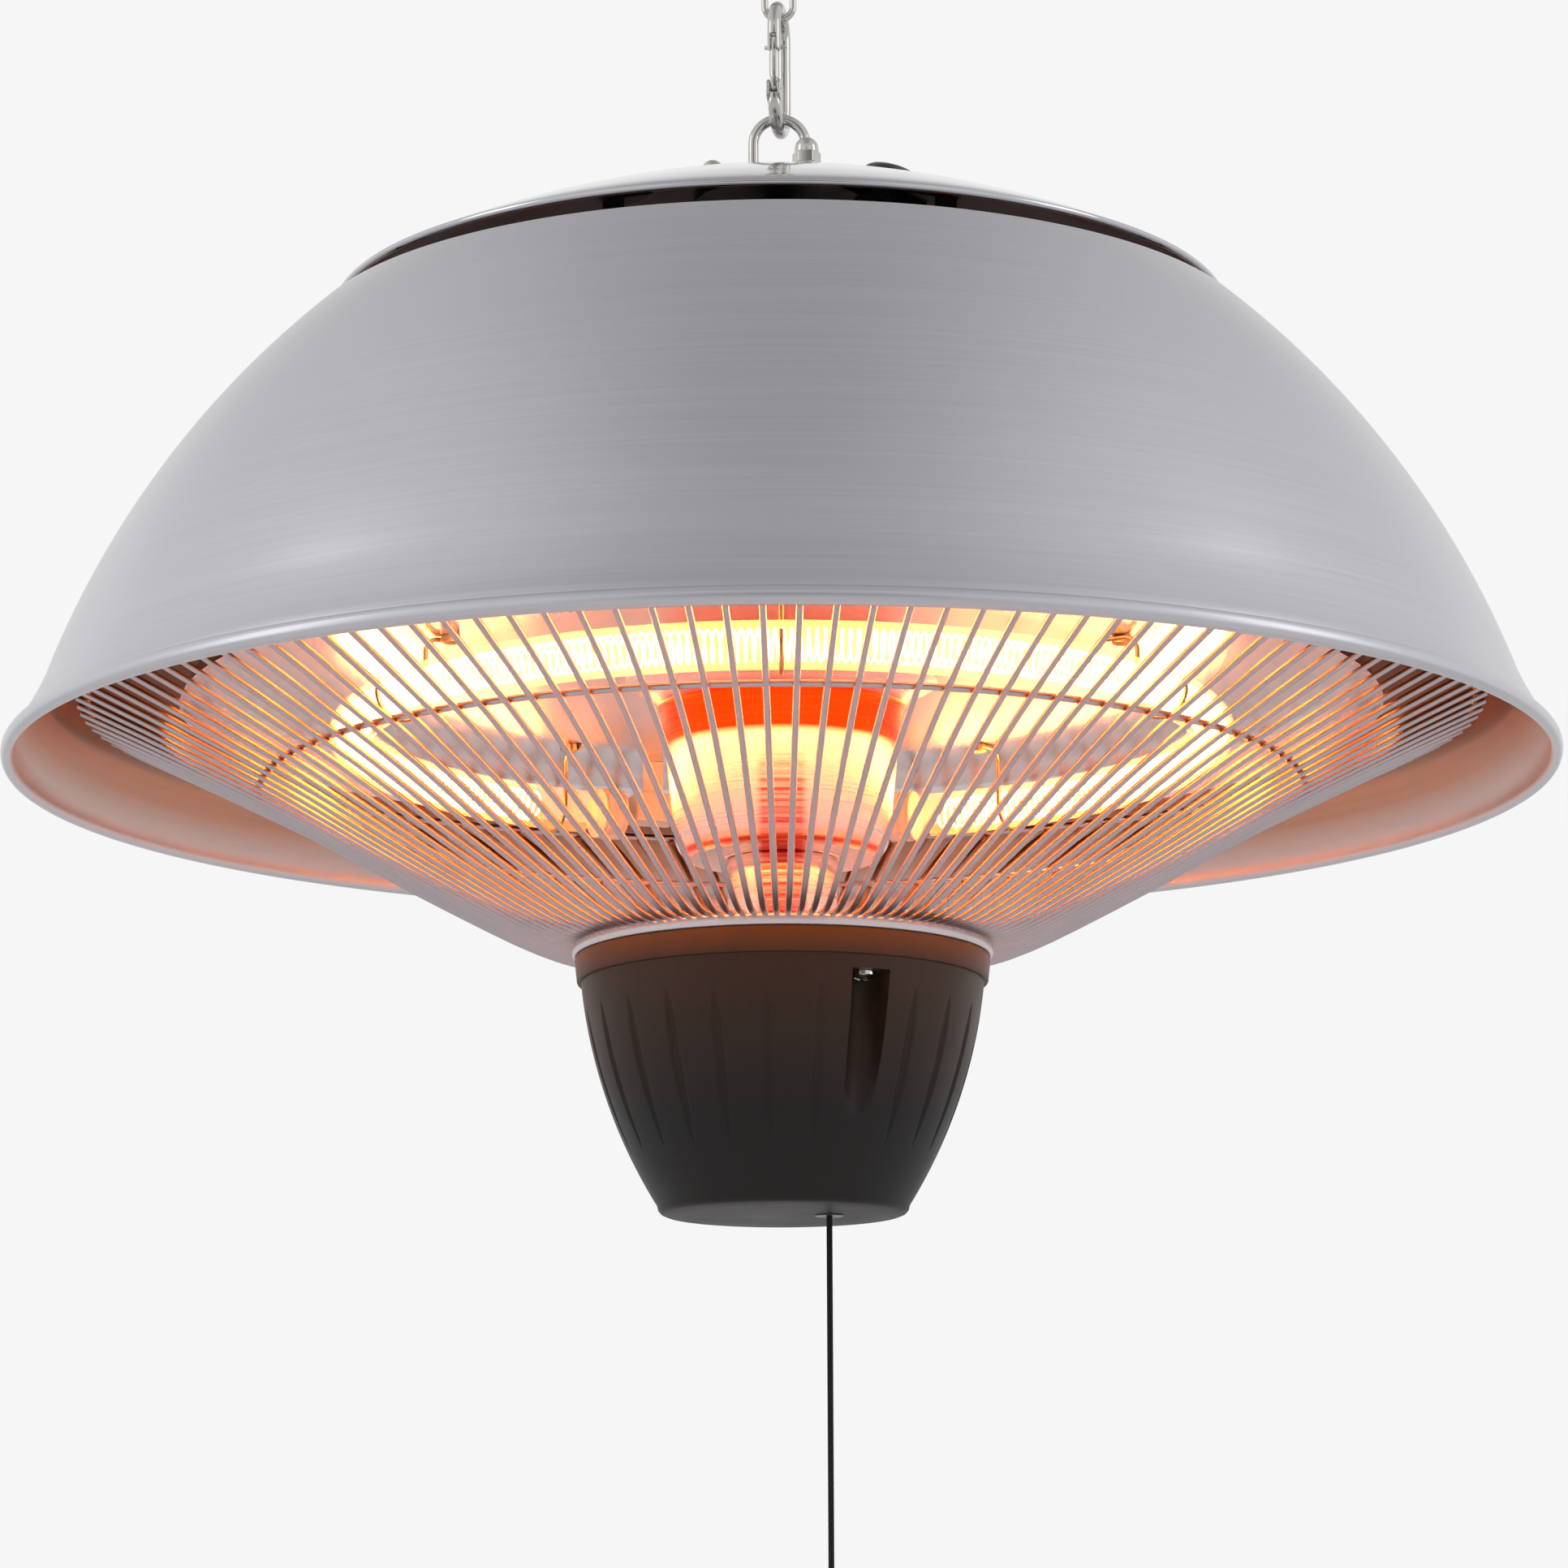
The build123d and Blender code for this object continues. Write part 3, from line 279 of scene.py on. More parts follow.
def finish_of(recipe):
    """The material of a recipe, made once. The recipe gets what adds a node, the Object coordinates and the
    colours, and gives the values and links of the Principled shader."""
    if recipe not in MADE:
        made = MADE[recipe] = bpy.data.materials.new(recipe.__name__)
        made.use_nodes = True
        tree = made.node_tree
        shader = next(n for n in tree.nodes if n.type == "BSDF_PRINCIPLED")
        place = add(tree, "TexCoord", out="Object")
        feed(tree, shader, recipe(partial(add, tree), place, bpy.context.scene.heater_colours))
    return MADE[recipe]


# Nearly all of a noise pattern lies between these two values.
EVEN = (0.3, 0.7)
RGB = {"out": 2, "data_type": "RGBA"}
FLAT = (1, 1, 0)


def grain_of(node, place, scale, detail, roughness=0.5):
    """Noise pattern on Object coordinates with so many cells to the metre, or so many along x, y and z."""
    scale = scale if isinstance(scale, tuple) else (scale, scale, scale)
    mapped = node("Mapping", {"Vector": place, "Scale": scale})
    return node("TexNoise", {"Vector": mapped, "Scale": 1.0, "Detail": detail, "Roughness": roughness})


def clouded(node, grain, first, second, rough, bump=None, tint=None, **constants):
    """Shader values of a finish whose colour, roughness and relief, (millimetres, strength), follow one
    grain. The colour lies between two linear or sRGB hex values, and may follow a tint of its own
    instead."""
    first, second = (linear(c) if isinstance(c, str) else c for c in (first, second))
    values = {key.replace("_", " "): value for key, value in constants.items()}
    values["Base Color"] = node("Mix", {0: tint or grain, 6: first, 7: second}, **RGB)
    values["Roughness"] = node("MapRange", [grain, *EVEN, *rough])
    if bump:
        values["Normal"] = node("Bump", {"Height": grain, "Distance": bump[0] / 1000, "Strength": bump[1]})
    return values


def at(height):
    """Object coordinate, in metres, of a height above the rim in millimetres."""
    return (RIM + height) / 1000


def lacquered_spun_aluminium(node, place, c):
    """Spun aluminium under a satin clear lacquer. The spinning tool leaves fine level lines, drawn 0.8 mm
    apart because the real 0.3 mm ones are too fine to show, and the lacquer softens what it mirrors."""
    lines = grain_of(node, place, (9, 9, 1300), 3.0, 0.6)
    clouds = grain_of(node, place, (9, 9, 14), 2.0)
    fine, wide = node("MapRange", [lines, *EVEN, 0.0, 0.7]), node("MapRange", [clouds, *EVEN, 0.0, 0.3])
    both = node("Math", [fine, wide], operation="ADD")
    dark, pale = toned(c.shade, 0.93), toned(c.shade, 1.05)
    lacquer = {"Coat_Weight": 0.25, "Coat_Roughness": 0.25}
    return clouded(node, lines, dark, pale, (0.3, 0.38), (0.02, 0.15), both, Metallic=0.92, **lacquer)


def painted_lamp_glow_lacquer(node, place, c):
    """The same spun aluminium on the shade's inner side, drawn in a copper tone: painted light of the lamp.
    The painted glow fades out in the flare, next to the rim."""
    lines = grain_of(node, place, (10, 10, 700), 3.0)
    # Copper tones: the lamp's light painted into the colour.
    made = clouded(node, lines, "B38670", "C49680", (0.32, 0.4), (0.02, 0.3), Metallic=0.92)
    z = node("SeparateXYZ", [place], "Z")
    # Near the rim the painted copper glow gives way to a pale satin tone.
    fade = node("MapRange", [z, at(1.5), at(13.0), 0.0, 1.0])
    made["Base Color"] = node("Mix", {0: fade, 6: linear("D0C8CA"), 7: made["Base Color"]}, **RGB)
    return made


def shade_darkened_spun_aluminium(node, place, c):
    """The cap's inner side, drawn dark and dull as painted shade under the cap, clouded darker and lighter.
    """
    stains_and_painted_light = grain_of(node, place, (30, 30, 60), 4.0)
    return clouded(node, stains_and_painted_light, "4A4446", "625A5C", (0.4, 0.55), Metallic=0.9)


def polished_spun_aluminium(node, place, c):
    """Spun aluminium, polished: mirrors clearly, with rings a millimetre apart left by the lathe and a few
    wipe marks."""
    level = node("VectorMath", [place, FLAT], operation="MULTIPLY")
    across = node("CombineXYZ", [node("VectorMath", [level], "Value", operation="LENGTH")])
    rings = grain_of(node, across, (900, 1, 1), 2.0)
    wipes = grain_of(node, place, (25, 60, 40), 4.0)
    dark, pale = toned(c.cap, 0.95), toned(c.cap, 1.03)
    made = clouded(node, wipes, dark, pale, (0.05, 0.11), tint=rings, Metallic=1.0)
    made["Normal"] = node("Bump", {"Height": rings, "Distance": 0.00001, "Strength": 0.3})
    return made


def bright_rolled_aluminium(node, place, c):
    """Bright rolled aluminium sheet, pressed: a satin mirror that blurs the wires before it, duller inside
    the lamp's ring and a little uneven where the press has drawn it."""
    waves = grain_of(node, place, 22, 1.0)
    grain = grain_of(node, place, (900, 40, 40), 2.0)
    dark, pale = toned(c.reflector, 0.93), toned(c.reflector, 1.0)
    made = clouded(node, grain, dark, pale, (0.17, 0.23), Metallic=1.0)
    level = node("VectorMath", [place, FLAT], operation="MULTIPLY")
    far = node("VectorMath", [level], "Value", operation="LENGTH")
    worn = node("MapRange", [far, 0.096, 0.106, 0.16, 0.0])
    made["Roughness"] = node("Math", [made["Roughness"], worn], operation="ADD")
    made["Normal"] = node("Bump", {"Height": waves, "Distance": 0.0003, "Strength": 0.15})
    return made


def polished_turned_aluminium(node, place, c):
    """Turned and polished aluminium of the column: the tool's rings, 0.8 mm apart, break up what it mirrors.
    Its flare, next to the lamp, has a band of painted lamp glow and its lower edge a thin line of it, and
    a streak of painted reflection of the glow runs down from the flare at the front."""
    rings = grain_of(node, place, (6, 6, 1250), 2.0)
    dark, pale = toned(c.reflector, 0.9), toned(c.reflector, 1.0)
    made = clouded(node, rings, dark, pale, (0.24, 0.34), (0.02, 0.4), Metallic=1.0)
    x, y, z = node("SeparateXYZ", [place]).node.outputs
    aside = node("Math", [x], operation="ABSOLUTE")
    streaks = grain_of(node, place, (8, 8, 900), 3.0)
    # Each mark is the product of ranges: (what, from, to, value there, value here).
    # Painted light: the lamp's glow as a band on the flare and a line at the lower edge, and its reflection
    # as a streak down the front.
    flare = [(z, at(7.0), at(9.5), 0.0, 1.0), (z, at(20.0), at(23.0), 1.0, 0.0)]
    stains_and_painted_light = [
        (streaks, 0.35, 0.6, 0.25, 0.9),
        (aside, 0.0052, 0.0072, 1.0, 0.0),
        (y, -0.006, -0.002, 1.0, 0.0),
        (z, at(-8.0), at(6.0), 1.0, 0.0),
    ]
    edge = [(z, at(-21.6), at(-20.9), 0.0, 1.0), (z, at(-20.4), at(-19.7), 0.9, 0.0)]
    painted_glow = 0.0
    for mark in (flare, stains_and_painted_light, edge):
        share = 1.0
        for limits in mark:
            share = node("Math", [share, node("MapRange", limits)], operation="MULTIPLY")
        painted_glow = node("Math", [painted_glow, share], operation="MAXIMUM")
    made["Base Color"] = node("Mix", {0: painted_glow, 6: made["Base Color"], 7: linear("C8300C")}, **RGB)
    return made


def nickel_plated_wire(node, place, c):
    """Drawn steel wire, nickel plated: smooth and satin, faintly lilac, with pale and dark drawing marks."""
    marks = grain_of(node, place, 40, 2.0)
    return clouded(node, marks, "B4AAAF", "C3B9BD", (0.26, 0.34), Metallic=1.0)


def painted_glow_nickel_wire(node, place, c):
    """The side of the guard's wires that faces the lamp: the same plate, drawn straw to orange as painted
    light of the lamp.
    """
    marks = grain_of(node, place, 40, 2.0)
    return clouded(node, marks, "D68E50", "EBB878", (0.26, 0.34), Metallic=1.0)


def nickel_plated_steel(node, place, c):
    """Bent and stamped steel fittings, bright nickel plated: a clear, slightly yellow mirror, with soft dull
    patches where they rub."""
    rubbed = grain_of(node, place, 160, 2.0)
    dark, pale = toned(c.plating, 0.82), toned(c.plating, 1.06)
    return clouded(node, rubbed, dark, pale, (0.07, 0.16), (0.02, 0.15), Metallic=1.0)


def zinc_plated_sheet(node, place, c):
    """Stamped steel sheet, zinc plated: dull bluish grey with a soft cloudy bloom."""
    bloom = grain_of(node, place, 90, 5.0)
    return clouded(node, bloom, "8E9196", "B4B7BB", (0.3, 0.5), (0.03, 0.4), Metallic=0.95)


def shade_darkened_sheet(node, place, c):
    """Stamped steel sheet, drawn dark grey and dull as painted shade inside the cap, with a fine crystal
    cloud.
    """
    bloom = grain_of(node, place, 140, 5.0)
    return clouded(node, bloom, "26272A", "404145", (0.45, 0.6), (0.03, 0.4), Metallic=0.6)


def brushed_plate(node, place, c):
    """Steel plate with a brushed light grey finish: short straight strokes."""
    strokes = grain_of(node, place, (60, 1400, 1400), 3.0)
    return clouded(node, strokes, "C9C3C6", "E2DDE0", (0.28, 0.42), (0.02, 0.4), Metallic=0.85)


def moulded_black_plastic(node, place, c):
    """Black heat-proof plastic, moulded with a fine spark-eroded grain that swallows half of the gloss. Its
    colour is painted brown towards the top for the lamp's light, most of all in the band under the guard.
    The grain is drawn 0.6 mm wide, twice its real width."""
    grain = grain_of(node, place, 1600, 2.0)
    bloom = grain_of(node, place, 35, 4.0)
    made = clouded(node, bloom, toned(c.housing, 0.85), toned(c.housing, 1.25), (0.44, 0.54), IOR=1.5)
    made["Specular IOR Level"] = 0.25
    z = node("SeparateXYZ", [place], "Z")
    # Painted light: the lamp's glow drawn brown into the colour, stronger towards the top.
    for brown, share, low, high in (("3A281C", 0.9, -96.0, -57.0), ("7A4216", 0.85, -58.0, -49.5)):
        painted_glow_share = node("MapRange", [z, at(low), at(high), 0.0, share])
        made["Base Color"] = node("Mix", {0: painted_glow_share, 6: made["Base Color"], 7: linear(brown)}, **RGB)
    made["Normal"] = node("Bump", {"Height": grain, "Distance": 0.00004, "Strength": 0.4})
    return made


def black_polyamide(node, place, c):
    """Black polyamide of the gland and the knob: smoother and glossier than the housing."""
    flow = grain_of(node, place, (120, 120, 300), 3.0)
    return clouded(node, flow, "161618", "26262A", (0.2, 0.34), (0.04, 0.3), IOR=1.53)


def natural_polyamide(node, place, c):
    """Natural white polyamide of the switch's plunger: milky, slightly see-through, soft gloss."""
    cloud = grain_of(node, place, 200, 3.0)
    return clouded(node, cloud, "DAD6CC", "EFECE4", (0.3, 0.42), IOR=1.53, Subsurface_Weight=0.1)


def phenolic_resin(node, place, c):
    """Black phenolic of the terminal and switch blocks: dull, hard, with pale filler specks."""
    specks = grain_of(node, place, 900, 1.0)
    rare = node("MapRange", [specks, 0.55, 0.75, 0.0, 1.0])
    return clouded(node, specks, "19191A", "3A3938", (0.4, 0.55), (0.04, 0.4), rare, IOR=1.6)


def fired_steatite(node, place, c):
    """Steatite ceramic, unglazed and fired: warm white, matt, with a powdery grain and faint stains."""
    grain = grain_of(node, place, 1100, 2.0)
    stains_and_painted_light = grain_of(node, place, 160, 4.0)
    dark, pale = toned(c.ceramic, 0.8), toned(c.ceramic, 1.05)
    return clouded(node, grain, dark, pale, (0.55, 0.75), (0.05, 0.5), stains_and_painted_light, IOR=1.6)


def fused_quartz(node, place, c):
    """Clear fused quartz tube. Seen thin, it only adds a gloss and a warm bloom, painted as a glow of the
    glass itself for the coil behind it.
    """
    draw = grain_of(node, place, (200, 200, 60), 1.0)
    return {
        "IOR": 1.46,
        "Roughness": 0.04,
        "Alpha": 0.2,
        # The glass glows: painted light of the coil.
        "Emission Strength": 1.6,
        "Emission Color": linear("FF8628"),
        "Base Color": node("Mix", {0: draw, 6: linear("FFE8CC"), 7: linear("FFF8EE")}, **RGB),
        "Normal": node("Bump", {"Height": draw, "Distance": 0.00005, "Strength": 0.3}),
    }


def hot_resistance_wire(node, place, c):
    """Coiled resistance wire at bright orange heat, a little uneven along the ring."""
    heat = grain_of(node, place, 60, 2.0)
    return {
        "Roughness": 0.6,
        "Base Color": linear("5A3A2A"),
        "Emission Color": node("Mix", {0: heat, 6: toned(c.glow, 0.9), 7: toned(c.glow, 1.0)}, **RGB),
        "Emission Strength": 42.0,
    }


def spring_steel(node, place, c):
    """Spring steel wire of the clips, blued by heat: straw to brown, with a low gloss."""
    tint = grain_of(node, place, 180, 3.0)
    return clouded(node, tint, "8A7350", "C9B68E", (0.22, 0.36), Metallic=1.0)


def braided_polyester(node, place, c):
    """Black braided polyester cord: two sets of strands wind round it against each other, and their crests
    come 2.4 mm apart and lie 0.1 mm proud."""
    centred = node("Mapping", {"Vector": place, "Location": (-CORD[0] / 1000, -CORD[1] / 1000, 0)})
    x, y, z = node("SeparateXYZ", [centred]).node.outputs
    turn = node("Math", [y, x], operation="ARCTAN2")
    climb = node("Math", [z, 2600.0], operation="MULTIPLY")
    lays = [node("Math", [turn, hand, climb], operation="MULTIPLY_ADD") for hand in (4.0, -4.0)]
    weave = node("Math", [node("Math", [lay], operation="SINE") for lay in lays], operation="MAXIMUM")
    crest = node("MapRange", [weave, -0.2, 1.0, 0.0, 1.0])
    return {
        "IOR": 1.5,
        "Roughness": 0.75,
        "Specular IOR Level": 0.3,
        # Painted shade and highlight: the grooves between the strands are drawn darker and the crests
        # lighter.
        "Base Color": node("Mix", {0: crest, 6: toned(c.cord, 0.5), 7: toned(c.cord, 1.8)}, **RGB),
        "Normal": node("Bump", {"Height": crest, "Distance": 0.0001, "Strength": 0.8}),
    }


def matt_paper(node, place, c):
    """Matt paper of the studio's floor, with a faint cloud of fibres."""
    fibres = grain_of(node, place, 300, 2.0)
    pale = linear("F5F5F5")
    paper = node("Mix", {0: fibres, 6: toned(pale, 0.985), 7: pale}, **RGB)
    return {"Roughness": 0.9, "Base Color": paper}


# Measures of the photograph: profiles as (radius, height above the rim), places as azimuths in degrees

CAP_TOP, CAP_SIDES = 168.4, 200
CAP_LINE = [(24, 168.4), (30, 167.2), (45, 163.0), (58, 158.9), (71, 154.6), (84, 150.0), (97, 144.9)]
CAP_LINE += [(108, 140.2), (119, 135.0), (124.2, 131.6)]
GUARD_LINE = [(53.0, -46.3), (58.0, -46.3), (64.0, -46.2), (72.6, -43.1), (85.0, -37.0), (105.5, -26.0)]
GUARD_LINE += [(120.0, -17.8), (132.6, -10.8), (142.4, -5.6), (160.0, 3.2), (175.0, 10.6), (192.5, 18.8)]
GUARD_WIRES = 120
SHADE_ARC = ((-33.96, -62.75), 249.86)
SHADE_SIDES, SHADE_WALL = 240, 0.9
CUP_ARC = ((-86.21, -41.89), 141.92)
CELLS = 24
CHANNELS = (-64.5, 55.5, 175.5)
CHANNEL_CIRCLE, CHANNEL_RADIUS = 49.0, 4.8
LAMP_RING, LAMP_HEIGHT, LAMP_RADIUS = 118.0, 11.5, 6.35
CLIPS = (270.0, 212.0, 328.0, 125.0, 55.0)
NUTS, NUT_CIRCLE = (-66.5, 53.5, 173.5), 19
# The hook's plane is turned from the line of sight, and the gland leans out from the axis, by degrees.
HOOK_TURN = 10
GLAND_AT, GLAND_AZIMUTH, GLAND_LEAN = 32.5, -21.7, 15.5
# Where the cord hangs, as (x, y) from the axis
CORD = (12.4, 0.8)


def cap_height(radius):
    """Height of the cap's outer face at a distance from the axis."""
    line = np.array([(0, CAP_TOP), *CAP_LINE])
    return np.interp(radius, line[:, 0], line[:, 1])


# Pieces


def piece(name, part, recipe, node, body="heater", sharp=35, lining=None):
    """Object from a part in millimetres, in a recipe's finish, that stands for a CAD node and rides on its
    body. A lining is a second recipe and the faces that it covers, as 0 or 1 for each."""
    points, faces = part
    verts = (points + (0, 0, RIM)) / 1000
    mesh = bpy.data.meshes.new(name)
    mesh.from_pydata(verts.tolist(), [], [row for f in faces for row in f.tolist()])
    mesh.validate()
    mesh.shade_smooth()
    mesh.set_sharp_from_angle(angle=radians(sharp))
    mesh.materials.append(finish_of(recipe))
    if lining:
        mesh.materials.append(finish_of(lining[0]))
        mesh.polygons.foreach_set("material_index", np.asarray(lining[1], np.int32))
    made = bpy.data.objects.new(name, mesh)
    bpy.context.scene.collection.objects.link(made)
    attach(made, body)
    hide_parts(node)
    return made


class HEATER_OT_shade(bpy.types.Operator):
    """Spun shade: long arc, flare and rolled rim, with a flange turned in at the top"""

    bl_idname = "heater.shade"
    bl_label = "Shade"

    def execute(self, context):
        centre, radius = SHADE_ARC
        start = np.degrees(np.arctan2(124.3 - centre[1], 131.7 - centre[0]))
        end = np.degrees(np.arctan2(20 - centre[1], 201.8 - centre[0]))
        outer_flare = [(201.8, 20), (204.0, 15.2), (206.8, 10.0), (209.2, 6.2)]
        inner_flare = [(200.9, 19.9), (203.1, 14.9), (206.0, 9.6), (208.3, 5.6)]
        outside = np.concatenate([arc(centre, radius, start, end, 40), through(outer_flare, 4)[1:]])
        inside = arc(centre, radius - SHADE_WALL, start, end, 40)
        inside = np.concatenate([inside, through(inner_flare, 4)[1:]])
        # Rim: the edge is rolled to an oval bead, higher than it is wide.
        bead = (210.85, 2.15) + arc((0, 0), 1.0, 130, -190, 18) * (1.62, 2.42)
        flange = [(130.4, 123.4), (121.2, 123.4), (121.2, 124.3), (130.6, 124.3)]
        outline = np.concatenate([outside, bead, inside[::-1], flange])
        row = np.arange(len(outline))
        inner = (row >= len(outside) + len(bead) - 4) & (row < len(outline) - 3)
        # The inner side gets the lamp's light painted on in copper.
        lining = (painted_lamp_glow_lacquer, np.repeat(inner, SHADE_SIDES))
        part = lathe(outline, SHADE_SIDES, True)
        piece("spun_shade", part, lacquered_spun_aluminium, "shade", lining=lining)
        return {"FINISHED"}


class HEATER_OT_cap(bpy.types.Operator):
    """Spun cap with a beaded edge, and the round plate on its crown"""

    bl_idname = "heater.cap"
    bl_label = "Cap and crown plate"

    def execute(self, context):
        line = through(CAP_LINE, 5)
        bead = arc((123.9, 131.6), 1.0, 40, -200, 10)
        inner = line[::-1][2:] - (0.3, 1.05)
        crown = [(r, CAP_TOP) for r in (2, 12, 20)]
        below = [(r, CAP_TOP - 1.1) for r in (20, 12, 2)]
        outline = np.concatenate([crown, line[:-1], bead, inner, below])
        row = np.arange(len(outline) - 1)
        inner = np.repeat(row >= len(line) + len(bead), CAP_SIDES)
        # The cap's inner side is drawn dark: painted shade under the cap.
        lining = (shade_darkened_spun_aluminium, np.concatenate([inner, np.zeros(CAP_SIDES), np.ones(CAP_SIDES)]))
        part = lathe(outline, CAP_SIDES)
        piece("spun_cap", part, polished_spun_aluminium, "top_cap", lining=lining)
        plate = rounded([(2, 168.45), (23, 168.45), (23, 170.45), (2, 170.45)], [0, 0.3, 0.9, 0], 5)
        piece("crown_disc", lathe(plate[4:-4], 96), polished_spun_aluminium, "crown_plate")
        return {"FINISHED"}


class HEATER_OT_reflector(bpy.types.Operator):
    """Bright pan, the polished column under it and the neck"""

    bl_idname = "heater.reflector"
    bl_label = "Reflector"

    def execute(self, context):
        pan = [(5.15, 28.0), (157.0, 28.0), (164.2, 18.0), (165.0, 18.0), (159.5, 28.8), (5.15, 28.8)]
        pan = rounded(pan, [0.1, 4.0, 0.3, 0.3, 4.0, 0.1], 7)
        piece("pressed_pan", lathe(pan, 200, True), bright_rolled_aluminium, "reflector_pan")
        flare = [(43.0, 27.4), (38.2, 25.0), (34.6, 21.6), (33.2, 18.0)]
        flare += [(31.6, 4.0), (29.7, -14.0), (28.6, -19.0), (25.6, -22.0)]
        lip = [(24.8, -22.0), (16.6, -22.0), (16.0, -21.5), (15.4, -22.0), (5.2, -22.0)]
        column = np.concatenate([[(5.2, 27.95), (43.0, 27.95)], through(flare, 6), lip])
        piece("polished_column", lathe(column, 128, True), polished_turned_aluminium, "reflector_column")
        neck = [(5.2, -22.05), (15.0, -22.05), (15.0, -47.15), (5.2, -47.15)]
        neck = rounded(neck, [0.1, 0.5, 0.5, 0.1], 4)
        piece("turned_neck", lathe(neck, 96, True), polished_turned_aluminium, "neck_tube")
        return {"FINISHED"}


class HEATER_OT_guard(bpy.types.Operator):
    """Guard: 120 bent wires, two hoops and the plate that they are welded on"""

    bl_idname = "heater.guard"
    bl_label = "Guard"

    def execute(self, context):
        size = context.scene.heater_sizes
        line = through(GUARD_LINE, 2)
        a = np.radians((np.arange(GUARD_WIRES) + 0.5) * 360 / GUARD_WIRES)[:, None]
        path = np.stack([line[:, 0] * np.cos(a), line[:, 0] * np.sin(a), line[:, 1] + 0 * a], -1)
        normal = np.stack([-np.sin(a), np.cos(a), 0 * a], -1)
        wires = wire(path, size.guard_wire * 500, 8, normal)
        # The four of a wire's eight sides that face the lamp get the painted lamp glow, and its end fans
        # don't.
        towards_lamp = np.cos(np.radians(np.arange(8) * 45 + 22.5)) > 0
        sides, fans = np.tile(towards_lamp, (len(line) - 1) * GUARD_WIRES), np.zeros(16 * GUARD_WIRES)
        lining = (painted_glow_nickel_wire, np.concatenate([sides, fans]))
        piece("guard_bars", wires, nickel_plated_wire, "guard_wires", sharp=60, lining=lining)
        thick = size.guard_hoop * 500
        for name, node, radius, low in (
            ("outer_hoop", "guard_outer_hoop", 189.4, 18.3),
            ("middle_hoop", "guard_mid_hoop", 142.4, -4.7),
        ):
            section = arc((radius, low + thick), thick, 0, 350, 12)
            piece(name, lathe(section, 240, True), nickel_plated_wire, node, sharp=60)
        edge = [(55.4, -47.2), (56.2, -46.4), (57.4, -46.4), (57.6, -48.0), (57.2, -49.4)]
        plate = rounded([(5.2, -47.2), *edge, (5.2, -49.4)], [0.1, 0.5, 0.5, 0.7, 0.8, 0.5, 0.1], 5)
        piece("weld_plate", lathe(plate, 160, True), brushed_plate, "guard_plate")
        return {"FINISHED"}


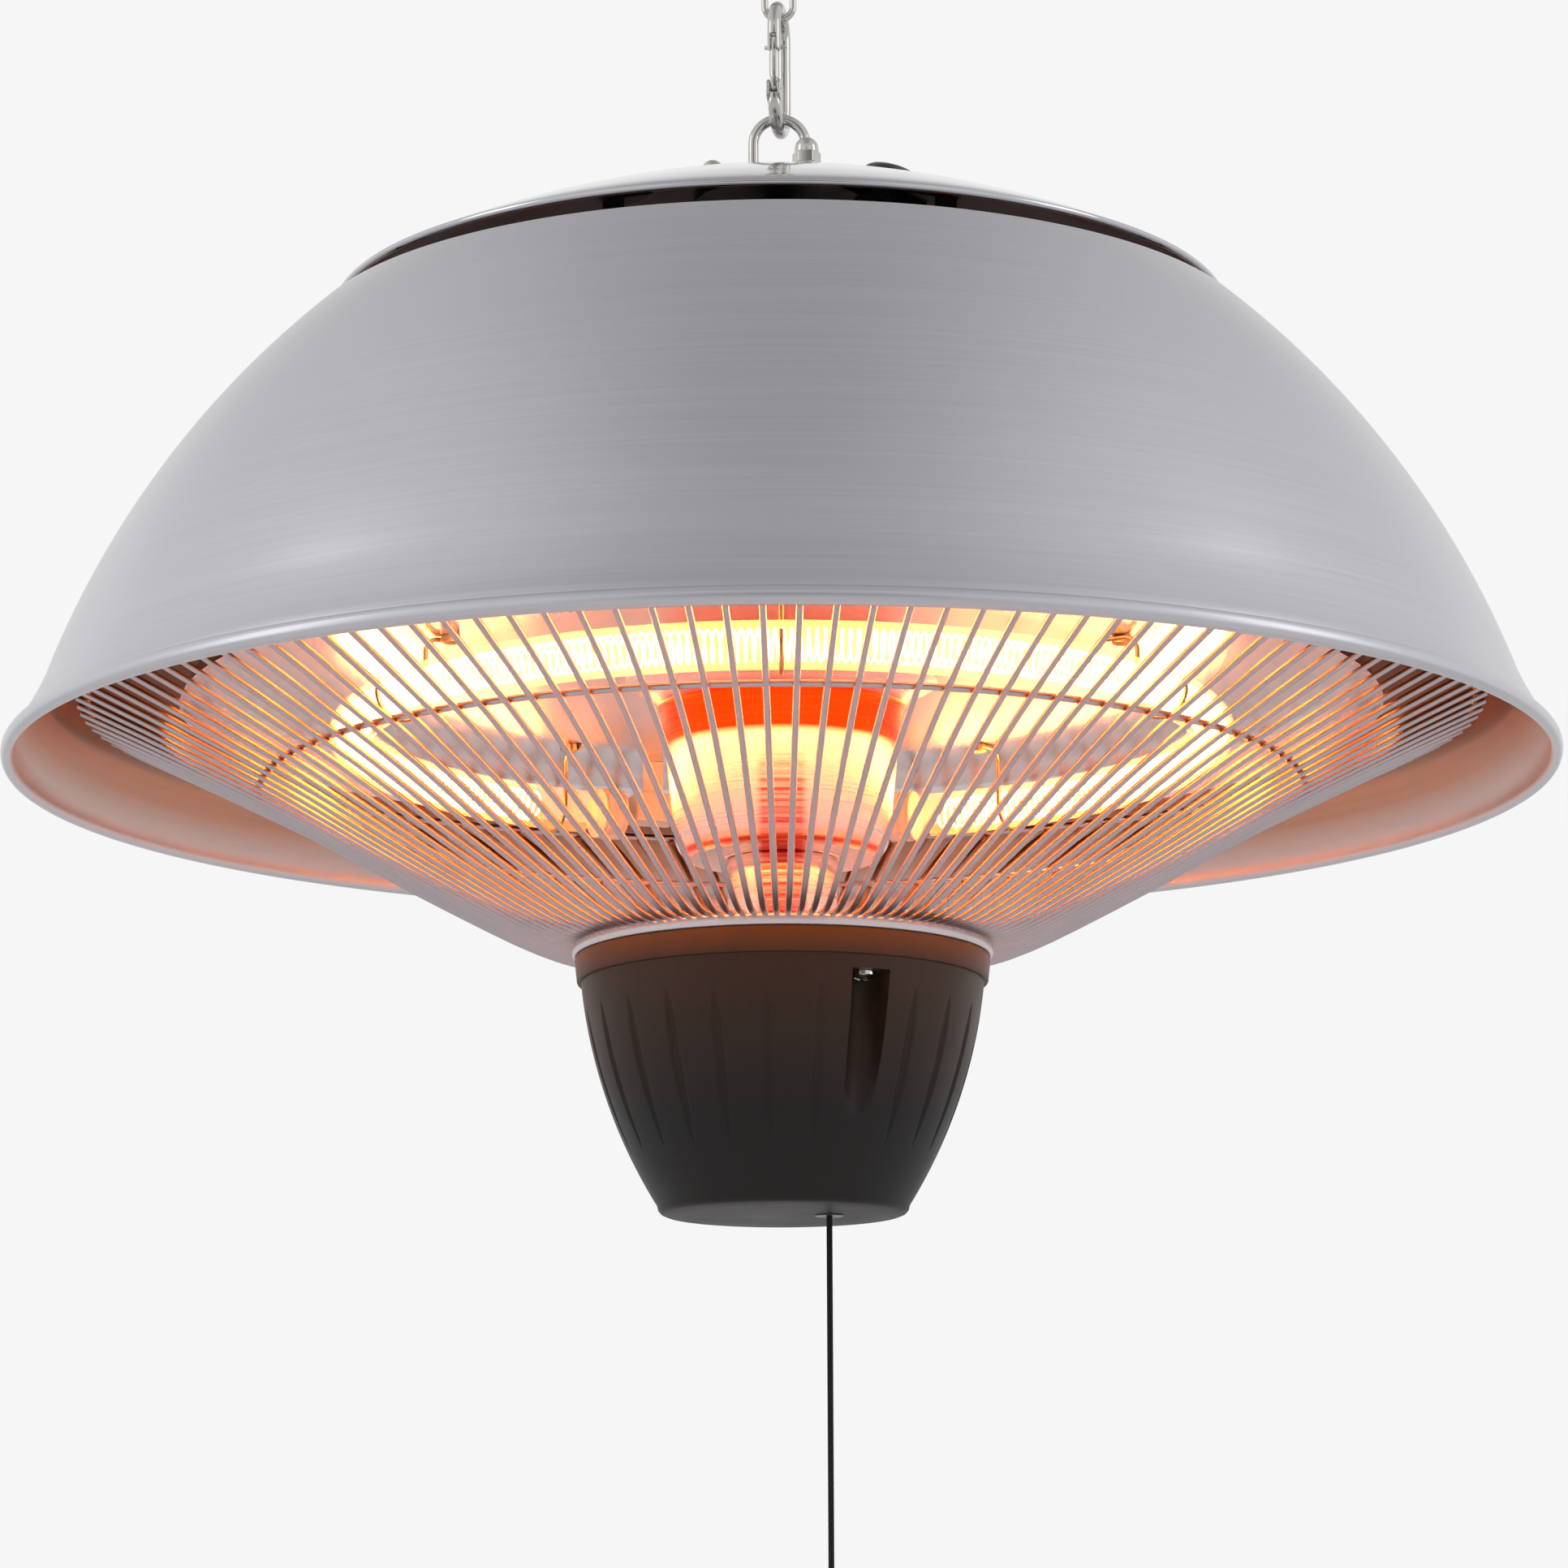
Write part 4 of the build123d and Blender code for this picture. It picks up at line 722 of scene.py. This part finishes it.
class HEATER_OT_housing(bpy.types.Operator):
    """Band, fluted cup with three screw channels, and the screws in them"""

    bl_idname = "heater.housing"
    bl_label = "Housing"

    def execute(self, context):
        size = context.scene.heater_sizes
        band = [(5.2, -49.45), (56.8, -49.45), (56.1, -56.35)]
        band += [(53.9, -56.35), (53.9, -51.45), (5.2, -51.45)]
        band = rounded(band, [0.1, 0.7, 0.5, 0.3, 0.3, 0.1], 5)
        piece("housing_ring", lathe(band, 160, True), moulded_black_plastic, "housing_band")
        # Azimuths: each 15 degree cell has close columns at its flute and at the edge of a screw channel.
        half = [0, 0.35, 0.7, 1.05, 1.4, 1.7, 1.95, 2.3, 3.0, 3.8, 4.6, 5.2, 5.5, 5.62, 5.8, 6.5, 7.2]
        half = np.array(half)
        cell = np.concatenate([-half[:0:-1], half])
        number = np.arange(CELLS)[:, None]
        azimuth = (CHANNELS[0] + number * 360 / CELLS + cell).reshape(-1)
        flute = ((number % (CELLS // len(CHANNELS)) != 0) + 0 * cell).reshape(-1)
        offset = np.tile(cell, CELLS)
        # Heights: the side follows its arc, with close rows where the flutes and channels end.
        runs = ((-56.4, -59.98, 4), (-60.0, -68.0, 12), (-70, -94, 12), (-96, -104, 10), (-107, -117, 5))
        h = np.concatenate([np.linspace(*run) for run in runs])
        (cx, ch), big = CUP_ARC
        r = cx + np.sqrt(big**2 - (h - ch) ** 2)
        r = r[:, None] + 0 * azimuth[None]
        # Flute: a rounded groove, deepest on its middle line, that narrows to a point at both ends.
        run = np.clip(np.minimum((-64.5 - h) / 9.0, (h + 104.0) / 16.0), 0, 1)
        reach = np.sqrt(run)[:, None] * np.degrees(size.flute_width * 500 / r)
        groove = np.clip(1 - np.abs(offset)[None] / np.maximum(reach, 1e-6), 0, 1)
        r = r - flute[None] * size.flute_depth * 1000 * run[:, None] ** 0.5 * np.sin(groove * pi / 2) ** 1.5
        # Channel: a round bore on the channels' circle, cut where it lies inside the side.
        delta = np.radians(offset)[None] + 0 * r
        inside = CHANNEL_RADIUS**2 - (CHANNEL_CIRCLE * np.sin(delta)) ** 2
        bore = CHANNEL_CIRCLE * np.cos(delta) - np.sqrt(np.maximum(inside, 0))
        cut = (inside >= -0.02) & (flute[None] == 0) & (h[:, None] < -59.99)
        r = np.where(cut, np.minimum(r, bore), r)
        foot = [(33.9, -118.3), (33.2, -119.1), (32.2, -119.5)]
        base = np.array([*foot, (24.0, -119.5), (12.0, -119.5), (3.0, -119.5)])
        ledge = [(43.0, -62.0), (50.5, -60.0), (52.6, -56.4)]
        walls = np.array([(3.0, -117.1), (30.0, -117.1), (36.5, -110.0), (43.0, -98.0), *ledge])
        # The outline runs from the inner floor up inside, over the top edge, down outside and in below.
        heights = np.concatenate([walls[:, 1], h, base[:, 1]])
        spans = np.concatenate([walls[:, :1] + 0 * azimuth[None], r, base[:, :1] + 0 * azimuth[None]])
        a = np.radians(azimuth)
        cup = shell(np.stack([spans * np.cos(a), spans * np.sin(a), heights[:, None] + 0 * a[None]], -1))
        piece("fluted_cup", cup, moulded_black_plastic, "lower_housing", sharp=40)
        # Screw heads: low domes facing down, with a cross sunk in them.
        head, slit = 3.6, 0.45
        u = np.linspace(0.15, 1, 16)[:, None]
        v = np.linspace(0, 2 * pi, 48, endpoint=False)[None]
        x, y = head * u * np.cos(v), head * u * np.sin(v)
        deep = ((np.abs(x) < slit) | (np.abs(y) < slit)) & (u < 0.62)
        face = np.stack([x + CHANNEL_CIRCLE, y + 0 * u, -62.45 + 1.2 * u**2.2 + 0.9 * deep + 0 * v], -1)
        back = np.stack([head * np.cos(v) + CHANNEL_CIRCLE, head * np.sin(v), -60.06 + 0 * v], -1)
        heads = turned_copies(shell(np.concatenate([face, back])), CHANNELS)
        piece("channel_screws", heads, nickel_plated_steel, "housing_screws")
        return {"FINISHED"}


class HEATER_OT_lamp(bpy.types.Operator):
    """Ring lamp: quartz tube, glowing coil, ceramic ends, connector block and wire clips"""

    bl_idname = "heater.lamp"
    bl_label = "Lamp"

    def execute(self, context):
        size = context.scene.heater_sizes
        ring, height = LAMP_RING, LAMP_HEIGHT
        v = np.linspace(0, 2 * pi, 24, endpoint=False)[None]

        def along_ring(a, wide):
            """Round tube on the lamp's ring, with a radius for each azimuth."""
            r = ring + wide * np.cos(v)
            return shell(np.stack([r * np.cos(a), r * np.sin(a), height + wide * np.sin(v)], -1))

        # Quartz: narrowed to domes at both ends.
        t = np.linspace(0, 1, 150)
        start, sweep = 118.0, 312.0
        edge = np.minimum(t, 1 - t) * sweep / 360 * 2 * pi * ring
        wide = LAMP_RADIUS * np.sqrt(1 - np.clip(1 - edge / 5.0, 0, 0.96) ** 2)[:, None]
        glass = along_ring(np.radians(start + sweep * t)[:, None], wide)
        piece("quartz_ring", glass, fused_quartz, "lamp_tube")
        # Coil: a helix of even turns about the ring's line, of square wire turned edge outwards.
        turns, start, sweep = size.coil_turns, 128.0, 298.5
        t = np.linspace(0, 1, turns * 10 + 1)
        a, phase = np.radians(start + sweep * t), 2 * pi * turns * t
        half = (size.coil_width - size.coil_wire) * 500
        out = np.stack([np.cos(a), np.sin(a), 0 * a], -1)
        away = np.cos(phase)[:, None] * out + np.sin(phase)[:, None] * UP
        path = ring * out + height * UP + half * away
        ahead = np.gradient(path, axis=0)
        ahead /= np.linalg.norm(ahead, axis=1, keepdims=True)
        beside = np.cross(ahead, away)
        corner = np.array([(1, 0), (0, 1), (-1, 0), (0, -1)]) * size.coil_wire * 500
        coil = path[:, None] + corner[None, :, :1] * away[:, None] + corner[None, :, 1:] * beside[:, None]
        coil = shell(coil)
        piece("glowing_coil", coil, hot_resistance_wire, "lamp_filament", sharp=80)
        # Ceramic ends: short ribbed sleeves on the ring's line.
        t = np.linspace(0, 1, 26)
        ends = 1 - np.clip(1 - np.minimum(t, 1 - t) * 14, 0, 1) ** 2 * 0.12
        wide = (7.5 * ends - 0.35 * (np.cos(t * 6 * pi) < -0.3))[:, None]
        sleeves = [along_ring(np.radians(start + 4.0 * t)[:, None], wide) for start in (113.9, 70.1)]
        piece("ceramic_ends", merged(*sleeves), fired_steatite, "lamp_end_caps")
        # Connector: a soft-edged block on its stem.
        block = rounded([(-5, -6.5), (5, -6.5), (5, 6.5), (-5, 6.5)], 1.0, 4)
        block = slab(block, ((ring, 0, 9.5), *AXES), 0, 8.5, 0.5)
        stem = rounded([(-2.5, -2.5), (2.5, -2.5), (2.5, 2.5), (-2.5, 2.5)], 0.5, 3)
        stem = slab(stem, ((ring, 0, 18.0), *AXES), 0, 9.95, 0.1)
        connector = turned_copies(merged(block, stem), [109.0])
        piece("connector_block", connector, fired_steatite, "lamp_connector")
        # Clips: wire bent down from the pan, round below the tube and up on its far side, and a screw.
        half = size.clip_wire * 500
        hug = LAMP_RADIUS + half + 0.1
        near, top = ring - hug, 27.9 - half
        bends = [(near - 9.0, top), (near - 3.0, top), (near - 0.9, top - 0.9), (near, 24.0), (near, 17.0)]
        line = np.concatenate([bends, arc((ring, height), hug, 180, 380, 16)])
        clip = wire(np.stack([line[:, 0], 0 * line[:, 0], line[:, 1]], -1), half, 10, (0, 1, 0))
        head = [(0.3, 25.6), (1.6, 25.7), (2.5, 26.2), (2.6, 26.6), (2.6, 27.9), (0.3, 27.9)]
        screw = lathe(head, 20, False, (near - 6.0, 2.6))
        piece("wire_clips", turned_copies(merged(clip, screw), CLIPS), spring_steel, "lamp_clips")
        return {"FINISHED"}


class HEATER_OT_links(bpy.types.Operator):
    """Two chain links of round wire, each bent to a long oval"""

    bl_idname = "heater.links"
    bl_label = "Chain links"

    def execute(self, context):
        bow, straight = 4.0, 6.0
        oval = np.concatenate([arc((0, straight), bow, 0, 180, 16), arc((0, -straight), bow, 180, 360, 16)])
        for name, node, body, x_dir, normal in (
            ("upper_link", "chain_link_upper", "hang_link", (0, 1, 0), (1, 0, 0)),
            ("lower_link", "chain_link_lower", "lower_link", (1, 0, 0), (0, -1, 0)),
        ):
            low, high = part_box(node)
            middle = (low.z + high.z) * 500 - RIM
            path = oval[:, :1] * np.array(x_dir, float) + oval[:, 1:] * UP + (0, 0, middle)
            piece(name, wire(path, 1.0, 16, normal, True), nickel_plated_steel, node, body, sharp=60)
        return {"FINISHED"}


class HEATER_OT_hook(bpy.types.Operator):
    """Snap hook of round bar, its hinge pin and its sprung gate"""

    bl_idname = "heater.hook"
    bl_label = "Snap hook"

    def execute(self, context):
        turn = radians(HOOK_TURN)
        x_dir, normal = np.array((sin(turn), cos(turn), 0)), np.array((cos(turn), -sin(turn), 0))
        low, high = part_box("snap_hook_body")
        origin = UP * ((low.z + high.z) * 500 - RIM)
        flat = (x_dir, UP, normal)
        # Body: a long oval, forged flat to a fork at the gate's pivot, with a slot in its nose.
        bow, side, bar_radius, pivot = 8.1, 10.0, 1.9, -7.8
        start = [(-bow, 7.8), (-bow, 8.6)]
        line = [start, arc((0, side), bow, 180, 0, 22), arc((0, -side), bow, 0, -180, 22), [(-bow, -9.9)]]
        line = np.concatenate(line)
        bar = wire(origin + line[:, :1] * x_dir + line[:, 1:] * UP, bar_radius, 20, normal)
        shoulder = [(-bow - bar_radius, -11.0), (-bow, -12.2), (-bow + bar_radius, -11.0)]
        cheek = np.concatenate([arc((-bow, pivot), 2.3, -8, 188, 16), shoulder])
        sides = ((1.1, 1.95), (-1.95, -1.1))
        cheeks = [slab(cheek, (origin, *flat), low, high, 0.2) for low, high in sides]
        # Nose: two prongs, each with a D for its section, that start inside the bar's end.
        dee = arc((0, 0), bar_radius, 61.7, -61.7 + 0.01, 12)
        prongs = []
        for hand in (1, -1):
            across, out = dee[:, 1:], dee[:, :1] * hand
            slot = 0.9 * hand
            grid = [
                origin + (across * k - bow) * x_dir + (slot + (out - slot) * k) * normal + v * UP
                for k, v in ((0.86, 3.3), (1.0, 3.7), (1.0, 7.9))
            ]
            prongs.append(shell(np.stack(grid)))
        hook = merged(bar, *cheeks, *prongs)
        piece("hook_bar", hook, nickel_plated_steel, "snap_hook_body", "snap_hook", sharp=50)
        pin_at = origin + -bow * x_dir + pivot * UP
        pin = slab(arc((0, 0), 1.0, 0, 340, 18), (pin_at, *flat), -2.2, 2.2, 0.3)
        piece("hook_pin", pin, nickel_plated_steel, "snap_hook_hinge_pin", "snap_hook", sharp=50)
        # Gate: a round bar with a flat tongue at each end and the cross pin that the nose holds.
        bar = np.array([(-bow, v) for v in np.linspace(-5.15, 2.95, 8)])
        thick = [1.2, 1.38, 1.4, 1.4, 1.4, 1.4, 1.38, 1.2]
        bar = wire(origin + bar[:, :1] * x_dir + bar[:, 1:] * UP, thick, 20, normal)
        foot = [*arc((-bow, pivot), 1.44, 180, 360, 12), (-bow + 1.44, -4.9), (-bow - 1.44, -4.9)]
        foot = slab(foot, (origin, *flat), -0.9, 0.9, 0.15)
        tip = rounded([(-bow - 1.1, 2.6), (-bow + 3.2, 4.2), (-bow + 3.4, 7.2), (-bow - 1.1, 7.4)], 0.7, 4)
        tip = slab(tip, (origin, *flat), -0.68, 0.68, 0.15)
        cross_at = origin + (-bow + 2.85) * x_dir + 5.0 * UP
        cross = slab(arc((0, 0), 0.6, 0, 340, 14), (cross_at, *flat), -3.25, 3.25, 0.2)
        gate = merged(bar, foot, tip, cross)
        piece("hook_gate_bar", gate, nickel_plated_steel, "snap_hook_gate", "hook_gate", sharp=50)
        return {"FINISHED"}


class HEATER_OT_crown(bpy.types.Operator):
    """Bail and acorn nuts on the crown plate"""

    bl_idname = "heater.crown"
    bl_label = "Bail and nuts"

    def execute(self, context):
        # Bail: round wire in a U, thickened by the weld at both feet.
        bow, top, foot = 7.35, 192.3 - 8.85, 170.5
        leg = np.array([0, 0.5, 1.1, 1.8, 3.0, 6.0, 9.0]) + foot
        legs = [np.stack([bow + 0 * leg, leg], -1), np.stack([-bow + 0 * leg, leg[::-1]], -1)]
        line = np.concatenate([legs[0], arc((0, top), bow, 0, 180, 24), legs[1]])
        radius = np.full(len(line), 1.5)
        radius[:4] = radius[-1:-5:-1] = (2.5, 2.1, 1.75, 1.55)
        bail = wire(np.stack([line[:, 0], 0 * line[:, 0], line[:, 1]], -1), radius, 20, (0, 1, 0))
        piece("round_bail", bail, nickel_plated_steel, "hanging_bail", sharp=60)
        # Acorn nuts: washer, hexagon with a turned shoulder, and dome.
        centre = (NUT_CIRCLE, 0)
        washer = rounded([(0.3, 170.5), (4.4, 170.5), (4.4, 171.5), (0.3, 171.5)], [0, 0.3, 0.3, 0], 3)
        washer = lathe(washer[2:-2], 40, False, centre)
        flats, sides = 7.0, 6
        hexagon = arc((0, 0), flats / 2 / cos(pi / sides), 0, 360 * (1 - 1 / sides), sides)
        hexagon = slab(rounded(hexagon, 0.25, 3), ((*centre, 0), *AXES), 171.5, 174.9, 0.25)
        dome = lathe([(3.45, 174.6), (3.4, 175.6), *arc((0, 176.1), 3.35, 0, 84, 10)], 36, False, centre)
        nuts = turned_copies(merged(washer, hexagon, dome), NUTS)
        piece("dome_nuts", nuts, nickel_plated_steel, "acorn_nuts")
        return {"FINISHED"}


class HEATER_OT_gland(bpy.types.Operator):
    """Cable gland: a ribbed dome, square on the sloping cap and open for the cable"""

    bl_idname = "heater.gland"
    bl_label = "Cable gland"

    def execute(self, context):
        a0, lean = radians(GLAND_AZIMUTH), radians(GLAND_LEAN)
        outwards = np.array((cos(a0), sin(a0), 0))
        foot = GLAND_AT * outwards + cap_height(GLAND_AT) * UP
        axis = sin(lean) * outwards + cos(lean) * UP
        first = cos(lean) * outwards - sin(lean) * UP
        second = np.cross(axis, first)
        a = np.linspace(0, 2 * pi, 96, endpoint=False)
        ribs = 1 - 0.025 * (np.cos(a * 16) > 0.2)
        outline = [(8.3, 0), (8.3, 2.9), (8.0, 3.9), (7.2, 4.9), (6.0, 5.6), (5.0, 5.9)]
        outline += [(4.3, 5.7), (4.15, 5.0), (4.15, -2.0), (7.4, -5.0), (7.4, 0)]
        rows = []
        for r, h in outline:
            wide = (r * (ribs if r > 8.1 else 1 + 0 * ribs))[:, None]
            row = foot + wide * (np.cos(a)[:, None] * first + np.sin(a)[:, None] * second) + h * axis
            if h == 0:
                row[:, 2] = cap_height(np.hypot(row[:, 0], row[:, 1])) + 0.05
            rows.append(row)
        piece("cable_gland_dome", shell(np.stack(rows), True), black_polyamide, "cable_gland", sharp=30)
        return {"FINISHED"}


class HEATER_OT_pull(bpy.types.Operator):
    """Pull cord, its knob and the grommet that it leaves by"""

    bl_idname = "heater.pull"
    bl_label = "Pull cord"

    def execute(self, context):
        x, y = CORD[0] / 1000, CORD[1] / 1000
        low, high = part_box("pull_cord")
        top, end = high.z, low.z
        # Cord: it hangs plumb from the grommet to the knob, so four points on one line are enough.
        curve = bpy.data.curves.new("braided_cord", "CURVE")
        curve.dimensions = "3D"
        curve.bevel_depth = 0.0008
        curve.bevel_resolution = 4
        curve.use_fill_caps = True
        spline = curve.splines.new("NURBS")
        spline.points.add(3)
        for point, share in zip(spline.points, (0.0, 0.06, 0.9, 1.0)):
            point.co = (x, y, top + (end - top) * share, 1)
        spline.order_u = 3
        spline.use_endpoint_u = True
        curve.materials.append(finish_of(braided_polyester))
        cord = bpy.data.objects.new("braided_cord", curve)
        context.scene.collection.objects.link(cord)
        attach(cord, "pull_cord_set")
        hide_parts("pull_cord")
        neck = [(0.9, -222.0), (1.9, -222.0), (2.6, -222.6), (3.0, -224.5), (3.5, -228.0)]
        neck += [(4.3, -233.0), (5.2, -238.0)]
        belly = [(5.2, -238.0), (5.75, -240.6), (5.6, -242.6), (4.4, -243.8), (2.0, -244.0)]
        knob = lathe(np.concatenate([through(neck, 4), through(belly, 4)[1:]]), 48, False, CORD)
        knob = piece("turned_knob", knob, black_polyamide, "pull_knob", "pull_cord_set")
        bush = [(1.15, -117.2), (3.55, -117.2), (3.55, -119.55)]
        bush += [(3.95, -119.55), (3.85, -119.9), (1.15, -119.9)]
        bush = lathe(rounded(bush, [0.3, 0.1, 0.1, 0.1, 0.15, 0.15], 4), 36, True, CORD)
        piece("cord_bush", bush, black_polyamide, "cord_grommet")
        return {"FINISHED"}


class HEATER_OT_frame_finishes(bpy.types.Operator):
    """Finishes of the CAD pieces that are shown as they are"""

    bl_idname = "heater.frame_finishes"
    bl_label = "Finishes of the inner parts"

    def execute(self, context):
        for recipe, nodes in (
            (zinc_plated_sheet, ("centre_tube_nuts", "centre_tube", "shade_rivets")),
            # These three are drawn dark as painted shade inside the cap.
            (shade_darkened_sheet, ("cap_posts", "spider_plate", "clamp_disc")),
            (phenolic_resin, ("terminal_block", "pull_switch_body")),
            (natural_polyamide, ("pull_switch_plunger",)),
            (black_polyamide, ("gland_nut",)),
        ):
            for node in nodes:
                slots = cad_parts[node].material_slots
                if not slots:
                    raise RuntimeError(f"{node} has no material slot")
                for slot in slots:
                    slot.material = finish_of(recipe)
        return {"FINISHED"}


class HEATER_OT_stage(bpy.types.Operator):
    """Pale floor, soft light and the camera at the photograph's angle"""

    bl_idname = "heater.stage"
    bl_label = "Floor, light and camera"

    def execute(self, context):
        scene = context.scene
        # Camera: a long lens below the rim, looking up at the heater. The lens is in photograph pixels.
        photo, focal, shift = 1932, 6034, 2.6
        away, height, upwards, roll = 1.321, -264.0, 11.27, -0.22
        camera = bpy.data.cameras.new("camera")
        camera.sensor_width = 36
        camera.lens = 36 * focal / photo
        camera.shift_x = shift / photo
        camera.clip_end = 50
        holder = bpy.data.objects.new("camera", camera)
        holder.matrix_world = (
            Matrix.Translation((0, -away, at(height)))
            @ Matrix.Rotation(radians(90 + upwards), 4, "X")
            @ Matrix.Rotation(radians(roll), 4, "Z")
        )
        scene.collection.objects.link(holder)
        scene.camera = holder
        # Floor, below what the camera sees: plain, and it keeps the heater's shadow.
        reach, depth = 30.0, -0.66
        corners = [(x * reach, y * reach, depth) for x, y in ((-1, -1), (1, -1), (1, 1), (-1, 1))]
        mesh = bpy.data.meshes.new("floor")
        mesh.from_pydata(corners, [], [(0, 1, 2, 3)])
        mesh.materials.append(finish_of(matt_paper))
        floor = bpy.data.objects.new("floor", mesh)
        scene.collection.objects.link(floor)
        # World: the same pale tone all round, except for a dim ceiling, which the front of the shade
        # mirrors, and a dim wall behind the camera, which gives the plated parts their dark lines.
        world = bpy.data.worlds.new("studio")
        world.use_nodes = True
        tree = world.node_tree
        node = partial(add, tree)
        x, y, z = node("SeparateXYZ", [node("TexCoord", out="Generated")]).node.outputs
        beside = node("MapRange", [node("Math", [x], operation="ABSOLUTE"), 0.16, 0.54, 0.0, 0.8])
        below = node("MapRange", [z, 0.45, 0.72, 1.0, 0.0])
        lit = node("Math", [beside, below], operation="MAXIMUM")
        ceiling = node("MapRange", [lit, 0.0, 1.0, 0.52, 1.0])
        facing = node("MapRange", [y, -0.965, -0.85, 0.2, 1.0])
        low = node("MapRange", [z, -0.05, 0.12, 1.0, 0.0])
        wall = node("Math", [facing, low], operation="MAXIMUM")
        level = node("Math", [ceiling, wall], operation="MULTIPLY")
        backdrop = scene.heater_colours.backdrop[:3]
        room = node("VectorMath", {0: backdrop, "Scale": level}, operation="SCALE")
        feed(tree, next(n for n in tree.nodes if n.type == "BACKGROUND"), {"Color": room, "Strength": 1.0})
        scene.world = world
        # Soft boxes, left and right, turned to the middle of the heater.
        middle = Vector((0, 0, -0.15))
        for name, side in (("left_box", -1.8), ("right_box", 1.8)):
            light = bpy.data.lights.new(name, "AREA")
            light.shape = "RECTANGLE"
            light.size, light.size_y, light.energy = 0.6, 1.2, 3
            place = Vector((side, -0.5, 0.5))
            turned = (middle - place).to_track_quat("-Z", "Y")
            box = bpy.data.objects.new(name, light)
            box.matrix_world = Matrix.Translation(place) @ turned.to_matrix().to_4x4()
            scene.collection.objects.link(box)
        scene.view_settings.view_transform = "Standard"
        return {"FINISHED"}


STEPS = (
    HEATER_OT_stage,
    HEATER_OT_pull,
    HEATER_OT_shade,
    HEATER_OT_cap,
    HEATER_OT_reflector,
    HEATER_OT_guard,
    HEATER_OT_housing,
    HEATER_OT_lamp,
    HEATER_OT_links,
    HEATER_OT_hook,
    HEATER_OT_crown,
    HEATER_OT_gland,
    HEATER_OT_frame_finishes,
)


class HEATER_PT_panel(bpy.types.Panel):
    """Lists the heater's pieces, sizes and colours"""

    bl_idname = "HEATER_PT_panel"
    bl_label = "Hanging heater"
    bl_space_type = "VIEW_3D"
    bl_region_type = "UI"
    bl_category = "Heater"

    def draw(self, context):
        for step in STEPS:
            self.layout.operator(step.bl_idname)
        for group in (context.scene.heater_sizes, context.scene.heater_colours):
            for key in group.__annotations__:
                self.layout.prop(group, key)


CLASSES = (HeaterSizes, HeaterColours, *STEPS, HEATER_PT_panel)


def register():
    for c in CLASSES:
        bpy.utils.register_class(c)
    bpy.types.Scene.heater_sizes = bpy.props.PointerProperty(type=HeaterSizes)
    bpy.types.Scene.heater_colours = bpy.props.PointerProperty(type=HeaterColours)


def unregister():
    del bpy.types.Scene.heater_colours
    del bpy.types.Scene.heater_sizes
    for c in reversed(CLASSES):
        bpy.utils.unregister_class(c)


def main():
    register()
    for step in STEPS:
        area, name = step.bl_idname.split(".")
        getattr(getattr(bpy.ops, area), name)()


if __name__ == "__main__":
    main()
